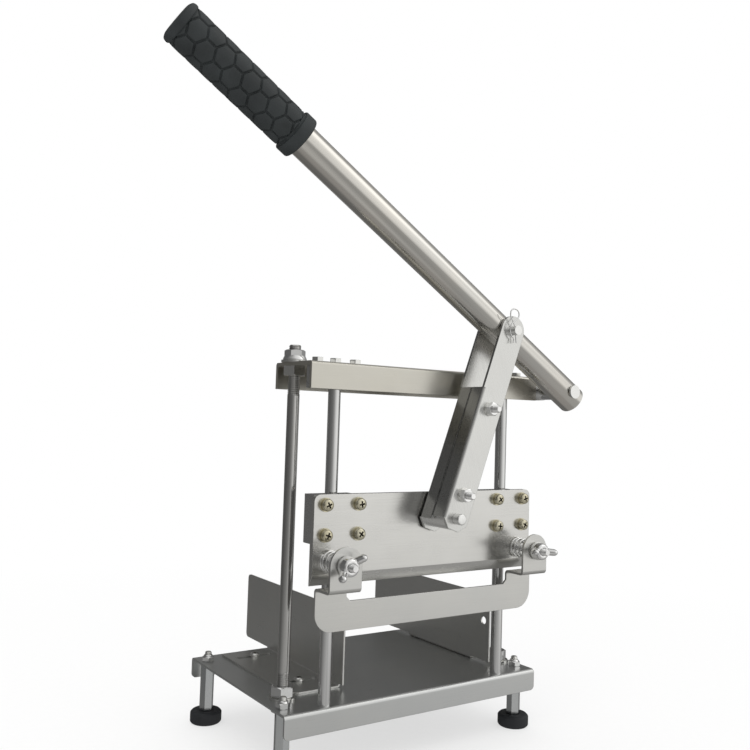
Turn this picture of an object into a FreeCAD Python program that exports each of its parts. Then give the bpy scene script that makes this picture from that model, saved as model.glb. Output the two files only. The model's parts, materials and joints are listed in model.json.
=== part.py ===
import FreeCAD, Part
import math
import os

import Sketcher

# Hand-lever slicer for frozen food, in millimetres and degrees.
# The origin is the centre of the base tray's top face, +Z is up, and the blade side faces -Y.

# Driving sizes, one cell of the sheet each.
SIZES = {
    # base tray
    "base_width": "258",
    "base_depth": "180",
    "base_sheet": "2",
    "base_flange_height": "18.4",
    "base_flange_corner": "4",
    "base_bend_radius": "3",
    # feet
    "base_top_height": "54",
    "foot_side_inset": "8",
    "foot_end_inset": "18",
    "foot_stud_diameter": "6",
    "foot_stud_end": "2.5",
    "foot_nut_flats": "10",
    "foot_nut_height": "6",
    "foot_spacer_flats": "11",
    "rubber_foot_diameter": "28",
    "rubber_foot_height": "11",
    "rubber_foot_bevel": "2",
    "rubber_foot_bottom_bevel": "1.5",
    "rubber_foot_cover": "4",
    # guide rods
    "rod_diameter": "10",
    "rod_side_inset": "39.3",
    "rod_front_offset": "9",
    "rod_screw_diameter": "6",
    "rod_screw_depth": "16",
    "small_head_flats": "8.5",
    "small_head_height": "3.5",
    # threaded columns
    "column_diameter": "10",
    "column_end_inset": "6.5",
    "column_front_offset": "38.5",
    "column_top_thread": "4",
    "column_low_thread": "3",
    "column_nut_flats": "17",
    "column_nut_height": "8",
    "flange_nut_flats": "15",
    "flange_nut_height": "8.5",
    "flange_nut_rim_diameter": "21",
    "flange_nut_rim_height": "1.2",
    "flange_nut_cone_height": "3.6",
    "column_washer_diameter": "22",
    "column_washer_thickness": "1.8",
    # top beam
    "beam_top_height": "267.5",
    "beam_left_beyond_rod": "27.3",
    "beam_right_beyond_rod": "33.7",
    "beam_depth": "59",
    "beam_overhang": "1",
    "beam_flange_height": "21.5",
    "beam_sheet": "3",
    "beam_bend_radius": "2.5",
    # rod block and lever bracket inside the beam
    "block_depth": "14",
    "block_height": "15",
    "block_screw_inward": "18.7",
    "block_screw_outward": "16.5",
    "block_end_margin": "5.5",
    "block_screw_diameter": "5",
    "block_screw_depth": "14",
    # lever
    "pivot_beyond_rod": "45.8",
    "pivot_below_web": "10.3",
    "lever_angle": "31.8",
    "lever_axis_offset": "23",
    "link_pin_distance": "92",
    "tube_diameter": "25",
    "tube_wall": "1.6",
    "tube_tail": "13",
    "tube_length_in_grip": "104",
    "grip_start": "330.6",
    "grip_length": "117",
    "grip_diameter": "31.5",
    "grip_collar_diameter": "34.5",
    "grip_collar_length": "10",
    "grip_flange_diameter": "34",
    "grip_flange_length": "5",
    "grip_rounding": "2",
    "pin_diameter": "8",
    "pin_clearance": "0.05",
    "pivot_head_diameter": "12",
    "pivot_head_thickness": "2",
    "pivot_spacer_diameter": "14",
    "side_gap": "0.5",
    # link
    "link_length": "167",
    "link_width": "25",
    "link_sheet": "2.5",
    "link_front_end": "9.5",
    "link_rear_end": "12.5",
    "link_end_chamfer": "7",
    "link_lip_start": "57",
    "link_bend_radius": "2.8",
    "link_bend_reach": "4",
    "link_lip_seam": "0.6",
    "link_bolt_upper": "72",
    "link_bolt_above_foot": "20",
    "link_bolt_diameter": "6",
    "link_bolt_head_diameter": "11",
    "link_bolt_head_thickness": "1.2",
    "link_bolt_end": "6",
    "link_nut_flats": "10",
    "link_nut_height": "5",
    "link_washer_diameter": "12",
    "link_washer_thickness": "1.2",
    "link_spacer_diameter": "10",
    "top_pin_head_diameter": "11",
    "top_pin_head_thickness": "1.5",
    "top_pin_end": "6.5",
    "clip_wire": "1.6",
    "clip_hole": "2.2",
    "clip_leg_below": "10",
    "clip_ring_height": "12.6",
    "clip_ring_radius": "3.6",
    "clip_play": "0.6",
    "foot_pin_head_diameter": "9",
    "foot_pin_head_thickness": "7.3",
    "foot_boss_diameter": "19",
    # blade carriage
    "blade_beyond_rod": "23.3",
    "blade_thickness": "5",
    "blade_above_pin": "18.8",
    "blade_below_pin": "42",
    "blade_bevel_height": "9",
    "blade_edge_thickness": "0.3",
    "blade_corner_radius": "5.5",
    "blade_to_base": "0.5",
    "foot_slot_left": "7.5",
    "foot_slot_right": "11.6",
    "foot_slot_rise": "1",
    "foot_slot_play": "0.3",
    "slider_block_height": "38.2",
    "slider_block_below_top": "1.3",
    "slider_block_depth": "20",
    "slider_block_inward": "21.7",
    "slider_block_outward": "17.8",
    "slider_bush_wall": "2",
    "slider_clearance": "0.05",
    "carriage_screw_diameter": "5",
    "carriage_screw_depth": "12",
    "carriage_screw_outward": "13.3",
    "carriage_screw_inward": "16.7",
    "carriage_screw_rise": "23.2",
    "carriage_screw_below_top": "7.9",
    "carriage_head_diameter": "9.4",
    "carriage_head_height": "2.8",
    "cross_width": "1.3",
    "cross_length": "5",
    "cross_depth": "1.4",
    "carriage_washer_diameter": "11",
    "carriage_washer_thickness": "1.2",
    "carriage_spring_washer_diameter": "9.2",
    "carriage_spring_washer_thickness": "1.9",
    "spring_washer_slit": "1",
    "stud_diameter": "6",
    "stud_beyond_rod": "8.8",
    "stud_above_plate_bottom": "9.7",
    "stud_reach": "38.5",
    # gauge
    "gauge_sheet": "2",
    "gauge_gap": "1.5",
    "gauge_side_inset": "1.5",
    "gauge_bottom_below_shelf": "34.4",
    "gauge_window_below_shelf": "12.1",
    "gauge_window_inside_rod": "9.7",
    "gauge_window_step": "3.5",
    "gauge_corner_radius": "15",
    "gauge_shelf_below_blade": "0.2",
    "gauge_shelf_depth": "22.5",
    "gauge_ear_height": "34.9",
    "gauge_ear_radius": "13.8",
    "gauge_hole_clearance": "0.35",
    "gauge_bend_radius": "3.5",
    "gauge_washer_diameter": "13",
    "gauge_washer_thickness": "1",
    "gauge_inner_washer_diameter": "24",
    "gauge_inner_washer_thickness": "1.5",
    "spring_outer_diameter": "18",
    "spring_wire": "1.6",
    "spring_turns": "4.5",
    "spring_seat_gap": "0.15",
    "wing_nut_hub_diameter": "13.5",
    "wing_nut_hub_top_diameter": "10",
    "wing_nut_hub_height": "8",
    "wing_nut_half_span": "14",
    "wing_nut_wing_rise": "13",
    "wing_thickness": "3.2",
    "wing_nut_left_angle": "39",
    "wing_nut_right_angle": "4",
    # fences
    "fence_sheet": "1.5",
    "fence_height": "64.5",
    "fence_bend_radius": "1.2",
    "wall_underside": "3",
    "wall_rear_corner": "4",
    "wall_beyond_base": "36.5",
    "left_wall_inset": "72",
    "left_wall_setback": "34.5",
    "right_wall_inset": "30",
    "right_wall_setback": "29",
    "left_foot_width": "46.5",
    "left_foot_setback": "40",
    "left_foot_rear_inset": "10",
    "left_foot_corner_cut": "8.5",
    "right_foot_width": "26",
    "right_foot_setback": "55",
    "right_foot_rear_inset": "28",
    "right_foot_corner_cut": "2",
    "fence_slot_length": "35",
    "fence_slot_wall_margin": "5",
    "fence_slot_play": "0.35",
    "fence_screw_diameter": "5",
    "fence_head_diameter": "9",
    "fence_head_height": "3",
    "fence_nut_flats": "8",
    "fence_nut_height": "4",
    "left_screw_from_wall": "22",
    "left_screw_front_margin": "28",
    "left_screw_rear_margin": "18",
    "right_screw_from_wall": "15",
    "right_screw_front_margin": "15",
    "right_screw_rear_margin": "15",
    "wall_hole_diameter": "7",
    "wall_hole_setback": "8",
    "wall_hole_height": "39.5",
}

SHEET = "Sizes"
LARGE = 1000.0
TOUCH = 0.001


class Size:
    """A number that remembers the sheet cells it is worked out from."""

    def __init__(self, value, text):
        self.value = value
        self.text = text

    def __add__(self, other):
        return combine(self, "+", other)

    def __radd__(self, other):
        return combine(other, "+", self)

    def __sub__(self, other):
        return combine(self, "-", other)

    def __rsub__(self, other):
        return combine(other, "-", self)

    def __mul__(self, other):
        return combine(self, "*", other)

    def __rmul__(self, other):
        return combine(other, "*", self)

    def __truediv__(self, other):
        return combine(self, "/", other)

    def __neg__(self):
        return combine(0, "-", self)


def as_size(number):
    if isinstance(number, Size):
        return number
    return Size(float(number), f"{float(number):.10g}")


def combine(left, sign, right):
    left = as_size(left)
    right = as_size(right)
    value = {
        "+": lambda: left.value + right.value,
        "-": lambda: left.value - right.value,
        "*": lambda: left.value * right.value,
        "/": lambda: left.value / right.value,
    }[sign]()
    return Size(value, f"({left.text} {sign} {right.text})")


def sine(angle):
    return Size(math.sin(math.radians(angle.value)), f"sin({angle.text})")


def cosine(angle):
    return Size(math.cos(math.radians(angle.value)), f"cos({angle.text})")


def arcsine(ratio):
    return Size(math.degrees(math.asin(ratio.value)), f"asin({ratio.text})")


def root(number):
    return Size(math.sqrt(number.value), f"sqrt({number.text})")


doc = FreeCAD.newDocument("FrozenMeatSlicer")
sheet = doc.addObject("Spreadsheet::Sheet", SHEET)
for row, (alias, number) in enumerate(SIZES.items(), start=1):
    sheet.set(f"A{row}", alias.replace("_", " "))
    sheet.set(f"B{row}", number)
    sheet.setAlias(f"B{row}", alias)
doc.recompute()


def cell(alias):
    return Size(float(SIZES[alias]), f"{SHEET}.{alias}")


def half(alias):
    return cell(alias) / 2


def bind(thing, path, size):
    """Tie a property to the sheet; a plain number is just a formula without cells."""
    thing.setExpression(path, as_size(size).text)


# Drawing helpers


def new_body(name):
    body = doc.addObject("PartDesign::Body", name)
    body.Label = name
    return body


def new_sketch(body, role, offset=0):
    """A sketch on one of the body's own origin planes, moved along the plane's normal."""
    plane = next(f for f in body.Origin.OriginFeatures if f.Role == role)
    sketch = body.newObject("Sketcher::SketchObject", f"{body.Name}_sketch")
    sketch.AttachmentSupport = [(plane, "")]
    sketch.MapMode = "FlatFace"
    bind(sketch, "AttachmentOffset.Base.z", offset)
    return sketch


def point_at(across, up):
    return FreeCAD.Vector(as_size(across).value, as_size(up).value, 0)


def pin_point(sketch, geometry, position, across, up):
    """Hold one point of the sketch at its two distances from the origin."""
    for kind, distance in (("DistanceX", as_size(across)), ("DistanceY", as_size(up))):
        rule = Sketcher.Constraint(kind, -1, 1, geometry, position, distance.value)
        index = sketch.addConstraint(rule)
        bind(sketch, f"Constraints[{index}]", distance)


def hold_radius(sketch, geometry, radius):
    index = sketch.addConstraint(Sketcher.Constraint("Radius", geometry, as_size(radius).value))
    bind(sketch, f"Constraints[{index}]", radius)


def draw_outline(sketch, corners):
    """A closed outline of straight lines through the corners."""
    first = sketch.GeometryCount
    for start, end in zip(corners, corners[1:] + corners[:1]):
        sketch.addGeometry(Part.LineSegment(point_at(*start), point_at(*end)), False)
    count = len(corners)
    for number in range(count):
        following = first + (number + 1) % count
        sketch.addConstraint(Sketcher.Constraint("Coincident", first + number, 2, following, 1))
    for number, corner in enumerate(corners):
        pin_point(sketch, first + number, 1, *corner)


def draw_rectangle(sketch, left, low, right, high):
    draw_outline(sketch, [(left, low), (right, low), (right, high), (left, high)])


def draw_circle(sketch, across, up, radius):
    geometry = sketch.addGeometry(
        Part.Circle(point_at(across, up), FreeCAD.Vector(0, 0, 1), as_size(radius).value), False
    )
    pin_point(sketch, geometry, 3, across, up)
    hold_radius(sketch, geometry, radius)


def draw_round_ended_slot(sketch, start, end, radius):
    """A slot between two centres that lie level with or right above each other, start first."""
    begin = point_at(*start)
    finish = point_at(*end)
    along = (finish - begin).normalize()
    side = FreeCAD.Vector(-along.y, along.x, 0) * as_size(radius).value
    turn = math.atan2(along.y, along.x)
    normal = FreeCAD.Vector(0, 0, 1)
    quarter = math.pi / 2
    low_circle = Part.Circle(begin, normal, as_size(radius).value)
    high_circle = Part.Circle(finish, normal, as_size(radius).value)
    first = sketch.addGeometry(
        Part.ArcOfCircle(low_circle, turn + quarter, turn + 3 * quarter), False
    )
    sketch.addGeometry(Part.LineSegment(begin - side, finish - side), False)
    sketch.addGeometry(Part.ArcOfCircle(high_circle, turn - quarter, turn + quarter), False)
    sketch.addGeometry(Part.LineSegment(finish + side, begin + side), False)
    for number in range(4):
        following = first + (number + 1) % 4
        sketch.addConstraint(Sketcher.Constraint("Tangent", first + number, 2, following, 1))
    pin_point(sketch, first, 3, *start)
    pin_point(sketch, first + 2, 3, *end)
    sketch.addConstraint(Sketcher.Constraint("Equal", first, first + 2))
    hold_radius(sketch, first, radius)


def pad(body, sketch, length, reverse=False):
    feature = body.newObject("PartDesign::Pad", f"{body.Name}_pad")
    feature.Profile = sketch
    feature.Reversed = reverse
    bind(feature, "Length", length)
    doc.recompute()
    return feature


def pocket(body, sketch, depth=None, reverse=False):
    """Cut the sketch out of the body, right through where no depth is given."""
    before = body.Shape.Volume
    feature = body.newObject("PartDesign::Pocket", f"{body.Name}_pocket")
    feature.Profile = sketch
    feature.Reversed = reverse
    if depth is None:
        feature.Type = "ThroughAll"
        feature.Midplane = True
    else:
        bind(feature, "Length", depth)
    doc.recompute()
    if not body.Shape.Volume < before - TOUCH:
        raise RuntimeError(f"a pocket in {body.Label} cuts nothing")
    return feature


def turn_profile(body, corners):
    """Revolve an outline of (radius, height) corners about the body's Z axis."""
    sketch = new_sketch(body, "XZ_Plane")
    draw_outline(sketch, corners)
    feature = body.newObject("PartDesign::Revolution", f"{body.Name}_turned")
    feature.Profile = sketch
    feature.ReferenceAxis = (sketch, ["V_Axis"])
    feature.Angle = 360
    doc.recompute()
    return feature


def edges_through(shape, points, direction):
    """Names of the straight edges along direction that pass through one of the points."""
    names = []
    for number, edge in enumerate(shape.Edges, start=1):
        if not isinstance(edge.Curve, Part.Line):
            continue
        if abs(abs(edge.Curve.Direction.dot(direction)) - 1) > TOUCH:
            continue
        for point in points:
            offset = FreeCAD.Vector(*[as_size(value).value for value in point]) - edge.Vertexes[0].Point
            if (offset - direction * offset.dot(direction)).Length < TOUCH:
                names.append(f"Edge{number}")
                break
    return names


AXIS_X = FreeCAD.Vector(1, 0, 0)
AXIS_Y = FreeCAD.Vector(0, 1, 0)
AXIS_Z = FreeCAD.Vector(0, 0, 1)


def fillet(body, points, direction, radius):
    """Round the edges along direction through the points."""
    base = body.Tip
    names = edges_through(base.Shape, points, direction)
    if len(names) < len(points):
        raise RuntimeError(f"a rounded edge of {body.Label} is missing")
    feature = body.newObject("PartDesign::Fillet", f"{body.Name}_fillet")
    feature.Base = (base, names)
    bind(feature, "Radius", radius)
    doc.recompute()
    return feature


def place(thing, across=0, along=0, up=0, axis=None, angle=0):
    """Put a piece at its place, turned about the axis by the angle."""
    if axis is not None:
        start = FreeCAD.Rotation(axis, as_size(angle).value)
        thing.Placement = FreeCAD.Placement(FreeCAD.Vector(0, 0, 0), start)
    bind(thing, "Placement.Base.x", across)
    bind(thing, "Placement.Base.y", along)
    bind(thing, "Placement.Base.z", up)
    if isinstance(angle, Size):
        bind(thing, "Placement.Rotation.Angle", angle)
    return thing


pieces = []


def keep(thing):
    """List a finished sub-part for the export."""
    pieces.append(thing)
    return thing


def copies(name, master, places):
    """One sub-part of equal separate solids; places hold the arguments of place()."""
    links = []
    for number, where in enumerate(places, start=1):
        link = doc.addObject("App::Link", f"{name}_{number}")
        link.LinkedObject = master
        place(link, **where)
        links.append(link)
    group = doc.addObject("Part::Compound", name)
    group.Label = name
    group.Links = links
    return keep(group)


# Fasteners, each with its axis on Z and its seat at z = 0


def washer(name, diameter, hole_diameter, thickness):
    body = new_body(name)
    sketch = new_sketch(body, "XY_Plane")
    draw_circle(sketch, 0, 0, diameter / 2)
    draw_circle(sketch, 0, 0, hole_diameter / 2)
    pad(body, sketch, thickness)
    return body


def spring_washer(name, diameter, hole_diameter, thickness):
    """A ring with a slit."""
    body = washer(name, diameter, hole_diameter, thickness)
    side = half("spring_washer_slit")
    sketch = new_sketch(body, "XY_Plane", thickness)
    draw_rectangle(sketch, -side, hole_diameter / 4, side, diameter)
    pocket(body, sketch, thickness)
    return body


def draw_hexagon(sketch, flats):
    corner = flats / math.sqrt(3)
    draw_outline(
        sketch,
        [
            (corner, as_size(0)),
            (corner / 2, flats / 2),
            (-corner / 2, flats / 2),
            (-corner, as_size(0)),
            (-corner / 2, -flats / 2),
            (corner / 2, -flats / 2),
        ],
    )


def bevel_hexagon(body, flats, height):
    """Turn the corners of a hexagon's top face off at 30 degrees."""
    corner = flats / math.sqrt(3)
    drop = (corner - flats / 2) * math.tan(math.radians(30))
    sketch = new_sketch(body, "XZ_Plane")
    corners = [
        (flats / 2, height),
        (corner + 1, height - drop * 2),
        (corner + 1, height + 1),
        (flats / 2, height + 1),
    ]
    draw_outline(sketch, corners)
    feature = body.newObject("PartDesign::Groove", f"{body.Name}_groove")
    feature.Profile = sketch
    feature.ReferenceAxis = (sketch, ["V_Axis"])
    feature.Angle = 360
    doc.recompute()


def hexagon_nut(name, flats, height, bore_diameter):
    body = new_body(name)
    sketch = new_sketch(body, "XY_Plane")
    draw_hexagon(sketch, flats)
    draw_circle(sketch, 0, 0, bore_diameter / 2)
    pad(body, sketch, height)
    bevel_hexagon(body, flats, height)
    return body


def flange_nut(name, bore_diameter):
    """A hexagon nut that widens to a round rim at its seat."""
    flats = cell("flange_nut_flats")
    rim = half("flange_nut_rim_diameter")
    cone = cell("flange_nut_cone_height")
    bore = bore_diameter / 2
    body = hexagon_nut(name, flats, cell("flange_nut_height"), bore_diameter)
    turn_profile(
        body,
        [
            (bore, as_size(0)),
            (rim, as_size(0)),
            (rim, cell("flange_nut_rim_height")),
            (flats / 2, cone),
            (bore, cone),
        ],
    )
    return body


def shank(body, diameter, depth):
    """A plain shank below the seat."""
    sketch = new_sketch(body, "XY_Plane")
    draw_circle(sketch, 0, 0, diameter / 2)
    pad(body, sketch, depth, reverse=True)


def hexagon_screw(name, flats, height, diameter, depth):
    body = new_body(name)
    sketch = new_sketch(body, "XY_Plane")
    draw_hexagon(sketch, flats)
    pad(body, sketch, height)
    bevel_hexagon(body, flats, height)
    shank(body, diameter, depth)
    return body


def cross_screw(name, head_diameter, head_height, diameter, depth):
    """A pan head with a cross recess."""
    body = new_body(name)
    zero = as_size(0)
    radius = head_diameter / 2
    turn_profile(
        body,
        [
            (zero, zero),
            (radius, zero),
            (radius, head_height * 0.45),
            (radius * 0.93, head_height * 0.72),
            (radius * 0.75, head_height * 0.93),
            (radius * 0.55, head_height),
            (zero, head_height),
        ],
    )
    shank(body, diameter, depth)
    arm = half("cross_length")
    side = half("cross_width")
    sketch = new_sketch(body, "XY_Plane", head_height)
    draw_outline(
        sketch,
        [
            (side, arm),
            (-side, arm),
            (-side, side),
            (-arm, side),
            (-arm, -side),
            (-side, -side),
            (-side, -arm),
            (side, -arm),
            (side, -side),
            (arm, -side),
            (arm, side),
            (side, side),
        ],
    )
    pocket(body, sketch, cell("cross_depth"))
    return body


def plain_pin(name, sections):
    """A round pin along Z; sections are (radius, low, high) from the bottom up."""
    body = new_body(name)
    corners = [(as_size(0), sections[0][1])]
    for radius, low, high in sections:
        corners.append((radius, low))
        corners.append((radius, high))
    corners.append((as_size(0), sections[-1][2]))
    turn_profile(body, corners)
    return body


def sleeve(name, outer_diameter, inner_diameter, length):
    return washer(name, outer_diameter, inner_diameter, length)


# Shared places

base_front = -half("base_depth")
base_rear = half("base_depth")
base_left = -half("base_width")
base_right = half("base_width")
base_under = -cell("base_sheet")
floor_level = -cell("base_top_height")

foot_x = half("base_width") - cell("foot_side_inset")
foot_y = half("base_depth") - cell("foot_end_inset")
foot_places = [(-foot_x, -foot_y), (foot_x, -foot_y), (-foot_x, foot_y), (foot_x, foot_y)]
# the hexagons of each foot are screwed home at an angle of their own, in degrees
foot_turns = (13, 34, -6, 20)

rod_x = half("base_width") - cell("rod_side_inset")
rod_y = base_front + cell("rod_front_offset")
rod_radius = half("rod_diameter")
beam_left = -rod_x - cell("beam_left_beyond_rod")
beam_right = rod_x + cell("beam_right_beyond_rod")
column_y = base_front + cell("column_front_offset")
column_radius = half("column_diameter")
column_places = [
    (beam_left + cell("column_end_inset"), column_y),
    (beam_right - cell("column_end_inset"), column_y),
]

beam_top = cell("beam_top_height")
beam_under_web = beam_top - cell("beam_sheet")
beam_low = beam_top - cell("beam_flange_height")
beam_front = base_front - cell("beam_overhang")
beam_rear = beam_front + cell("beam_depth")
beam_inner_front = beam_front + cell("beam_sheet")
beam_inner_rear = beam_rear - cell("beam_sheet")
block_rear = beam_inner_front + cell("block_depth")
block_screw_shifts = (-cell("block_screw_inward"), cell("block_screw_outward"))

pivot_x = rod_x + cell("pivot_beyond_rod")
pivot_z = beam_under_web - cell("pivot_below_web")
block_low = pivot_z - half("block_height")
lever_y = base_front - cell("lever_axis_offset")
tube_radius = half("tube_diameter")
tube_rear = lever_y + tube_radius
tube_front = lever_y - tube_radius

link_rear_inner = tube_rear + cell("side_gap")
link_front_inner = tube_front - cell("side_gap")
link_rear_outer = link_rear_inner + cell("link_sheet")
link_front_outer = link_front_inner - cell("link_sheet")
top_pin_x = pivot_x - cell("link_pin_distance") * cosine(cell("lever_angle"))
top_pin_z = pivot_z + cell("link_pin_distance") * sine(cell("lever_angle"))
link_tilt = arcsine(top_pin_x / cell("link_length"))
link_drop = root(cell("link_length") * cell("link_length") - top_pin_x * top_pin_x)
foot_pin_z = top_pin_z - link_drop

blade_half_width = rod_x + cell("blade_beyond_rod")
blade_rear = base_front - cell("blade_to_base")
blade_front = blade_rear - cell("blade_thickness")
blade_top = foot_pin_z + cell("blade_above_pin")
plate_bottom = foot_pin_z - cell("blade_below_pin")
blade_edge = plate_bottom - cell("blade_bevel_height")
stud_z = plate_bottom + cell("stud_above_plate_bottom")
stud_x = rod_x + cell("stud_beyond_rod")
stud_end = blade_front - cell("stud_reach")

gauge_rear = blade_front - cell("gauge_gap")
gauge_front = gauge_rear - cell("gauge_sheet")
shelf_top = blade_edge - cell("gauge_shelf_below_blade")
shelf_low = shelf_top - cell("gauge_sheet")
ear_front = gauge_rear - cell("gauge_shelf_depth")
ear_rear = ear_front + cell("gauge_sheet")
gauge_hole_radius = half("stud_diameter") + cell("gauge_hole_clearance")

left_wall_x = base_left + cell("left_wall_inset")
right_wall_x = base_right - cell("right_wall_inset")
left_foot_front = base_front + cell("left_foot_setback")
left_foot_rear = base_rear - cell("left_foot_rear_inset")
right_foot_front = base_front + cell("right_foot_setback")
right_foot_rear = base_rear - cell("right_foot_rear_inset")
left_screws = [
    (left_wall_x - cell("left_screw_from_wall"), left_foot_front + cell("left_screw_front_margin")),
    (left_wall_x - cell("left_screw_from_wall"), left_foot_rear - cell("left_screw_rear_margin")),
]
right_screws = [
    (right_wall_x + cell("right_screw_from_wall"), right_foot_front + cell("right_screw_front_margin")),
    (right_wall_x + cell("right_screw_from_wall"), right_foot_rear - cell("right_screw_rear_margin")),
]


# Frame: base tray and feet


def make_base_tray():
    """One sheet bent down along its front and rear edges."""
    body = new_body("base_tray")
    low = -cell("base_flange_height")
    rear = base_rear
    sketch = new_sketch(body, "YZ_Plane", base_left)
    draw_outline(
        sketch,
        [
            (base_front, low),
            (base_front + cell("base_sheet"), low),
            (base_front + cell("base_sheet"), base_under),
            (rear - cell("base_sheet"), base_under),
            (rear - cell("base_sheet"), low),
            (rear, low),
            (rear, as_size(0)),
            (base_front, as_size(0)),
        ],
    )
    pad(body, sketch, cell("base_width"))
    holes = new_sketch(body, "XY_Plane")
    for across, along in foot_places:
        draw_circle(holes, across, along, half("foot_stud_diameter"))
    for side in (-1, 1):
        draw_circle(holes, rod_x * side, rod_y, half("rod_screw_diameter"))
    for across, along in column_places:
        draw_circle(holes, across, along, column_radius)
    for across, along in left_screws + right_screws:
        draw_circle(holes, across, along, half("fence_screw_diameter"))
    pocket(body, holes)
    fillet(body, [(0, base_front, 0), (0, rear, 0)], AXIS_X, cell("base_bend_radius"))
    corners = [(side, 0, low) for side in (base_left, base_right)]
    fillet(body, corners, AXIS_Y, cell("base_flange_corner"))
    return keep(body)


def make_feet():
    stud_top = cell("foot_nut_height") + cell("foot_stud_end")
    stud_low = floor_level + cell("rubber_foot_cover")
    stud = plain_pin("foot_stud", [(half("foot_stud_diameter"), stud_low, stud_top)])
    nut = hexagon_nut("foot_nut", cell("foot_nut_flats"), cell("foot_nut_height"), cell("foot_stud_diameter"))
    rubber_top = floor_level + cell("rubber_foot_height")
    spacer = new_body("foot_spacer")
    sketch = new_sketch(spacer, "XY_Plane")
    draw_hexagon(sketch, cell("foot_spacer_flats"))
    draw_circle(sketch, 0, 0, half("foot_stud_diameter"))
    pad(spacer, sketch, base_under - rubber_top)
    rubber = new_body("rubber_foot")
    outer = half("rubber_foot_diameter")
    bevel = cell("rubber_foot_bevel")
    bottom_bevel = cell("rubber_foot_bottom_bevel")
    inner = half("foot_stud_diameter")
    height = cell("rubber_foot_height")
    cover = cell("rubber_foot_cover")
    zero = as_size(0)
    turn_profile(
        rubber,
        [
            (zero, zero),
            (outer - bottom_bevel, zero),
            (outer, bottom_bevel),
            (outer, height - bevel),
            (outer - bevel, height),
            (inner, height),
            (inner, cover),
            (zero, cover),
        ],
    )
    for name, master, level in (
        ("foot_studs", stud, 0),
        ("foot_nuts", nut, 0),
        ("foot_spacers", spacer, rubber_top),
        ("rubber_feet", rubber, floor_level),
    ):
        places = zip(foot_places, foot_turns)
        copies(name, master, [dict(across=x, along=y, up=level, axis=AXIS_Z, angle=turn) for (x, y), turn in places])


# Frame: rods and columns


def make_guide_rods():
    """Ground rods, tapped at both ends."""
    depth = cell("rod_screw_depth")
    bore = half("rod_screw_diameter")
    zero = as_size(0)
    for name, side in (("guide_rod_left", -1), ("guide_rod_right", 1)):
        body = new_body(name)
        turn_profile(
            body,
            [
                (bore, zero),
                (rod_radius, zero),
                (rod_radius, beam_under_web),
                (bore, beam_under_web),
                (bore, beam_under_web - depth),
                (zero, beam_under_web - depth),
                (zero, depth),
                (bore, depth),
            ],
        )
        keep(place(body, rod_x * side, rod_y))
    screw = hexagon_screw(
        "rod_screw",
        cell("small_head_flats"),
        cell("small_head_height"),
        cell("rod_screw_diameter"),
        depth - cell("base_sheet"),
    )
    both = (-1, 1)
    copies("rod_screws_top", screw, [dict(across=rod_x * s, along=rod_y, up=beam_top) for s in both])
    copies(
        "rod_screws_bottom",
        screw,
        [dict(across=rod_x * s, along=rod_y, up=base_under, axis=AXIS_X, angle=180) for s in both],
    )


def make_columns():
    """Threaded columns, clamped to the base and the beam by pairs of nuts."""
    nut_height = cell("column_nut_height")
    disc_thickness = cell("column_washer_thickness")
    low = base_under - nut_height - cell("column_low_thread")
    high = beam_top + disc_thickness + cell("flange_nut_height") + cell("column_top_thread")
    bevel = cell("column_diameter") / 10
    for name, (across, along) in zip(("column_left", "column_right"), column_places):
        body = new_body(name)
        zero = as_size(0)
        turn_profile(
            body,
            [
                (zero, low),
                (column_radius - bevel, low),
                (column_radius, low + bevel),
                (column_radius, high - bevel),
                (column_radius - bevel, high),
                (zero, high),
            ],
        )
        keep(place(body, across, along))
    plain = hexagon_nut("column_nut", cell("column_nut_flats"), nut_height, cell("column_diameter"))
    flanged = flange_nut("column_flange_nut", cell("column_diameter"))
    disc = washer(
        "column_washer",
        cell("column_washer_diameter"),
        cell("column_diameter"),
        disc_thickness,
    )

    def on_columns(name, master, level, **turn):
        copies(name, master, [dict(across=x, along=y, up=level, **turn) for x, y in column_places])

    on_columns("column_nuts_top", flanged, beam_top + disc_thickness)
    on_columns("column_nuts_under_beam", plain, beam_under_web, axis=AXIS_X, angle=180)
    on_columns("column_nuts_base", flanged, disc_thickness)
    on_columns("column_nuts_bottom", plain, base_under, axis=AXIS_X, angle=180)
    levels = (as_size(0), beam_top)
    copies("column_washers", disc, [dict(across=x, along=y, up=z) for x, y in column_places for z in levels])


# Frame: beam, rod block and lever bracket


def make_top_beam():
    """A channel, open at the bottom and at both ends."""
    body = new_body("top_beam")
    sketch = new_sketch(body, "YZ_Plane", beam_left)
    draw_outline(
        sketch,
        [
            (beam_front, beam_low),
            (beam_inner_front, beam_low),
            (beam_inner_front, beam_under_web),
            (beam_inner_rear, beam_under_web),
            (beam_inner_rear, beam_low),
            (beam_rear, beam_low),
            (beam_rear, beam_top),
            (beam_front, beam_top),
        ],
    )
    pad(body, sketch, beam_right - beam_left)
    holes = new_sketch(body, "XY_Plane", beam_top)
    for side in (-1, 1):
        draw_circle(holes, rod_x * side, rod_y, half("rod_screw_diameter"))
        for shift in block_screw_shifts:
            draw_circle(holes, (rod_x + shift) * side, rod_y, half("block_screw_diameter"))
    for across, along in column_places:
        draw_circle(holes, across, along, column_radius)
    pocket(body, holes)
    fillet(body, [(0, beam_front, beam_top), (0, beam_rear, beam_top)], AXIS_X, cell("beam_bend_radius"))
    return keep(body)


def drill_block(body, side):
    """The rod's bore and the two screw holes of a block inside the beam."""
    bore = new_sketch(body, "XY_Plane", beam_under_web)
    draw_circle(bore, rod_x * side, rod_y, rod_radius)
    pocket(body, bore)
    holes = new_sketch(body, "XY_Plane", beam_under_web)
    for shift in block_screw_shifts:
        draw_circle(holes, (rod_x + shift) * side, rod_y, half("block_screw_diameter"))
    pocket(body, holes, cell("block_screw_depth") - cell("beam_sheet"))


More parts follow.
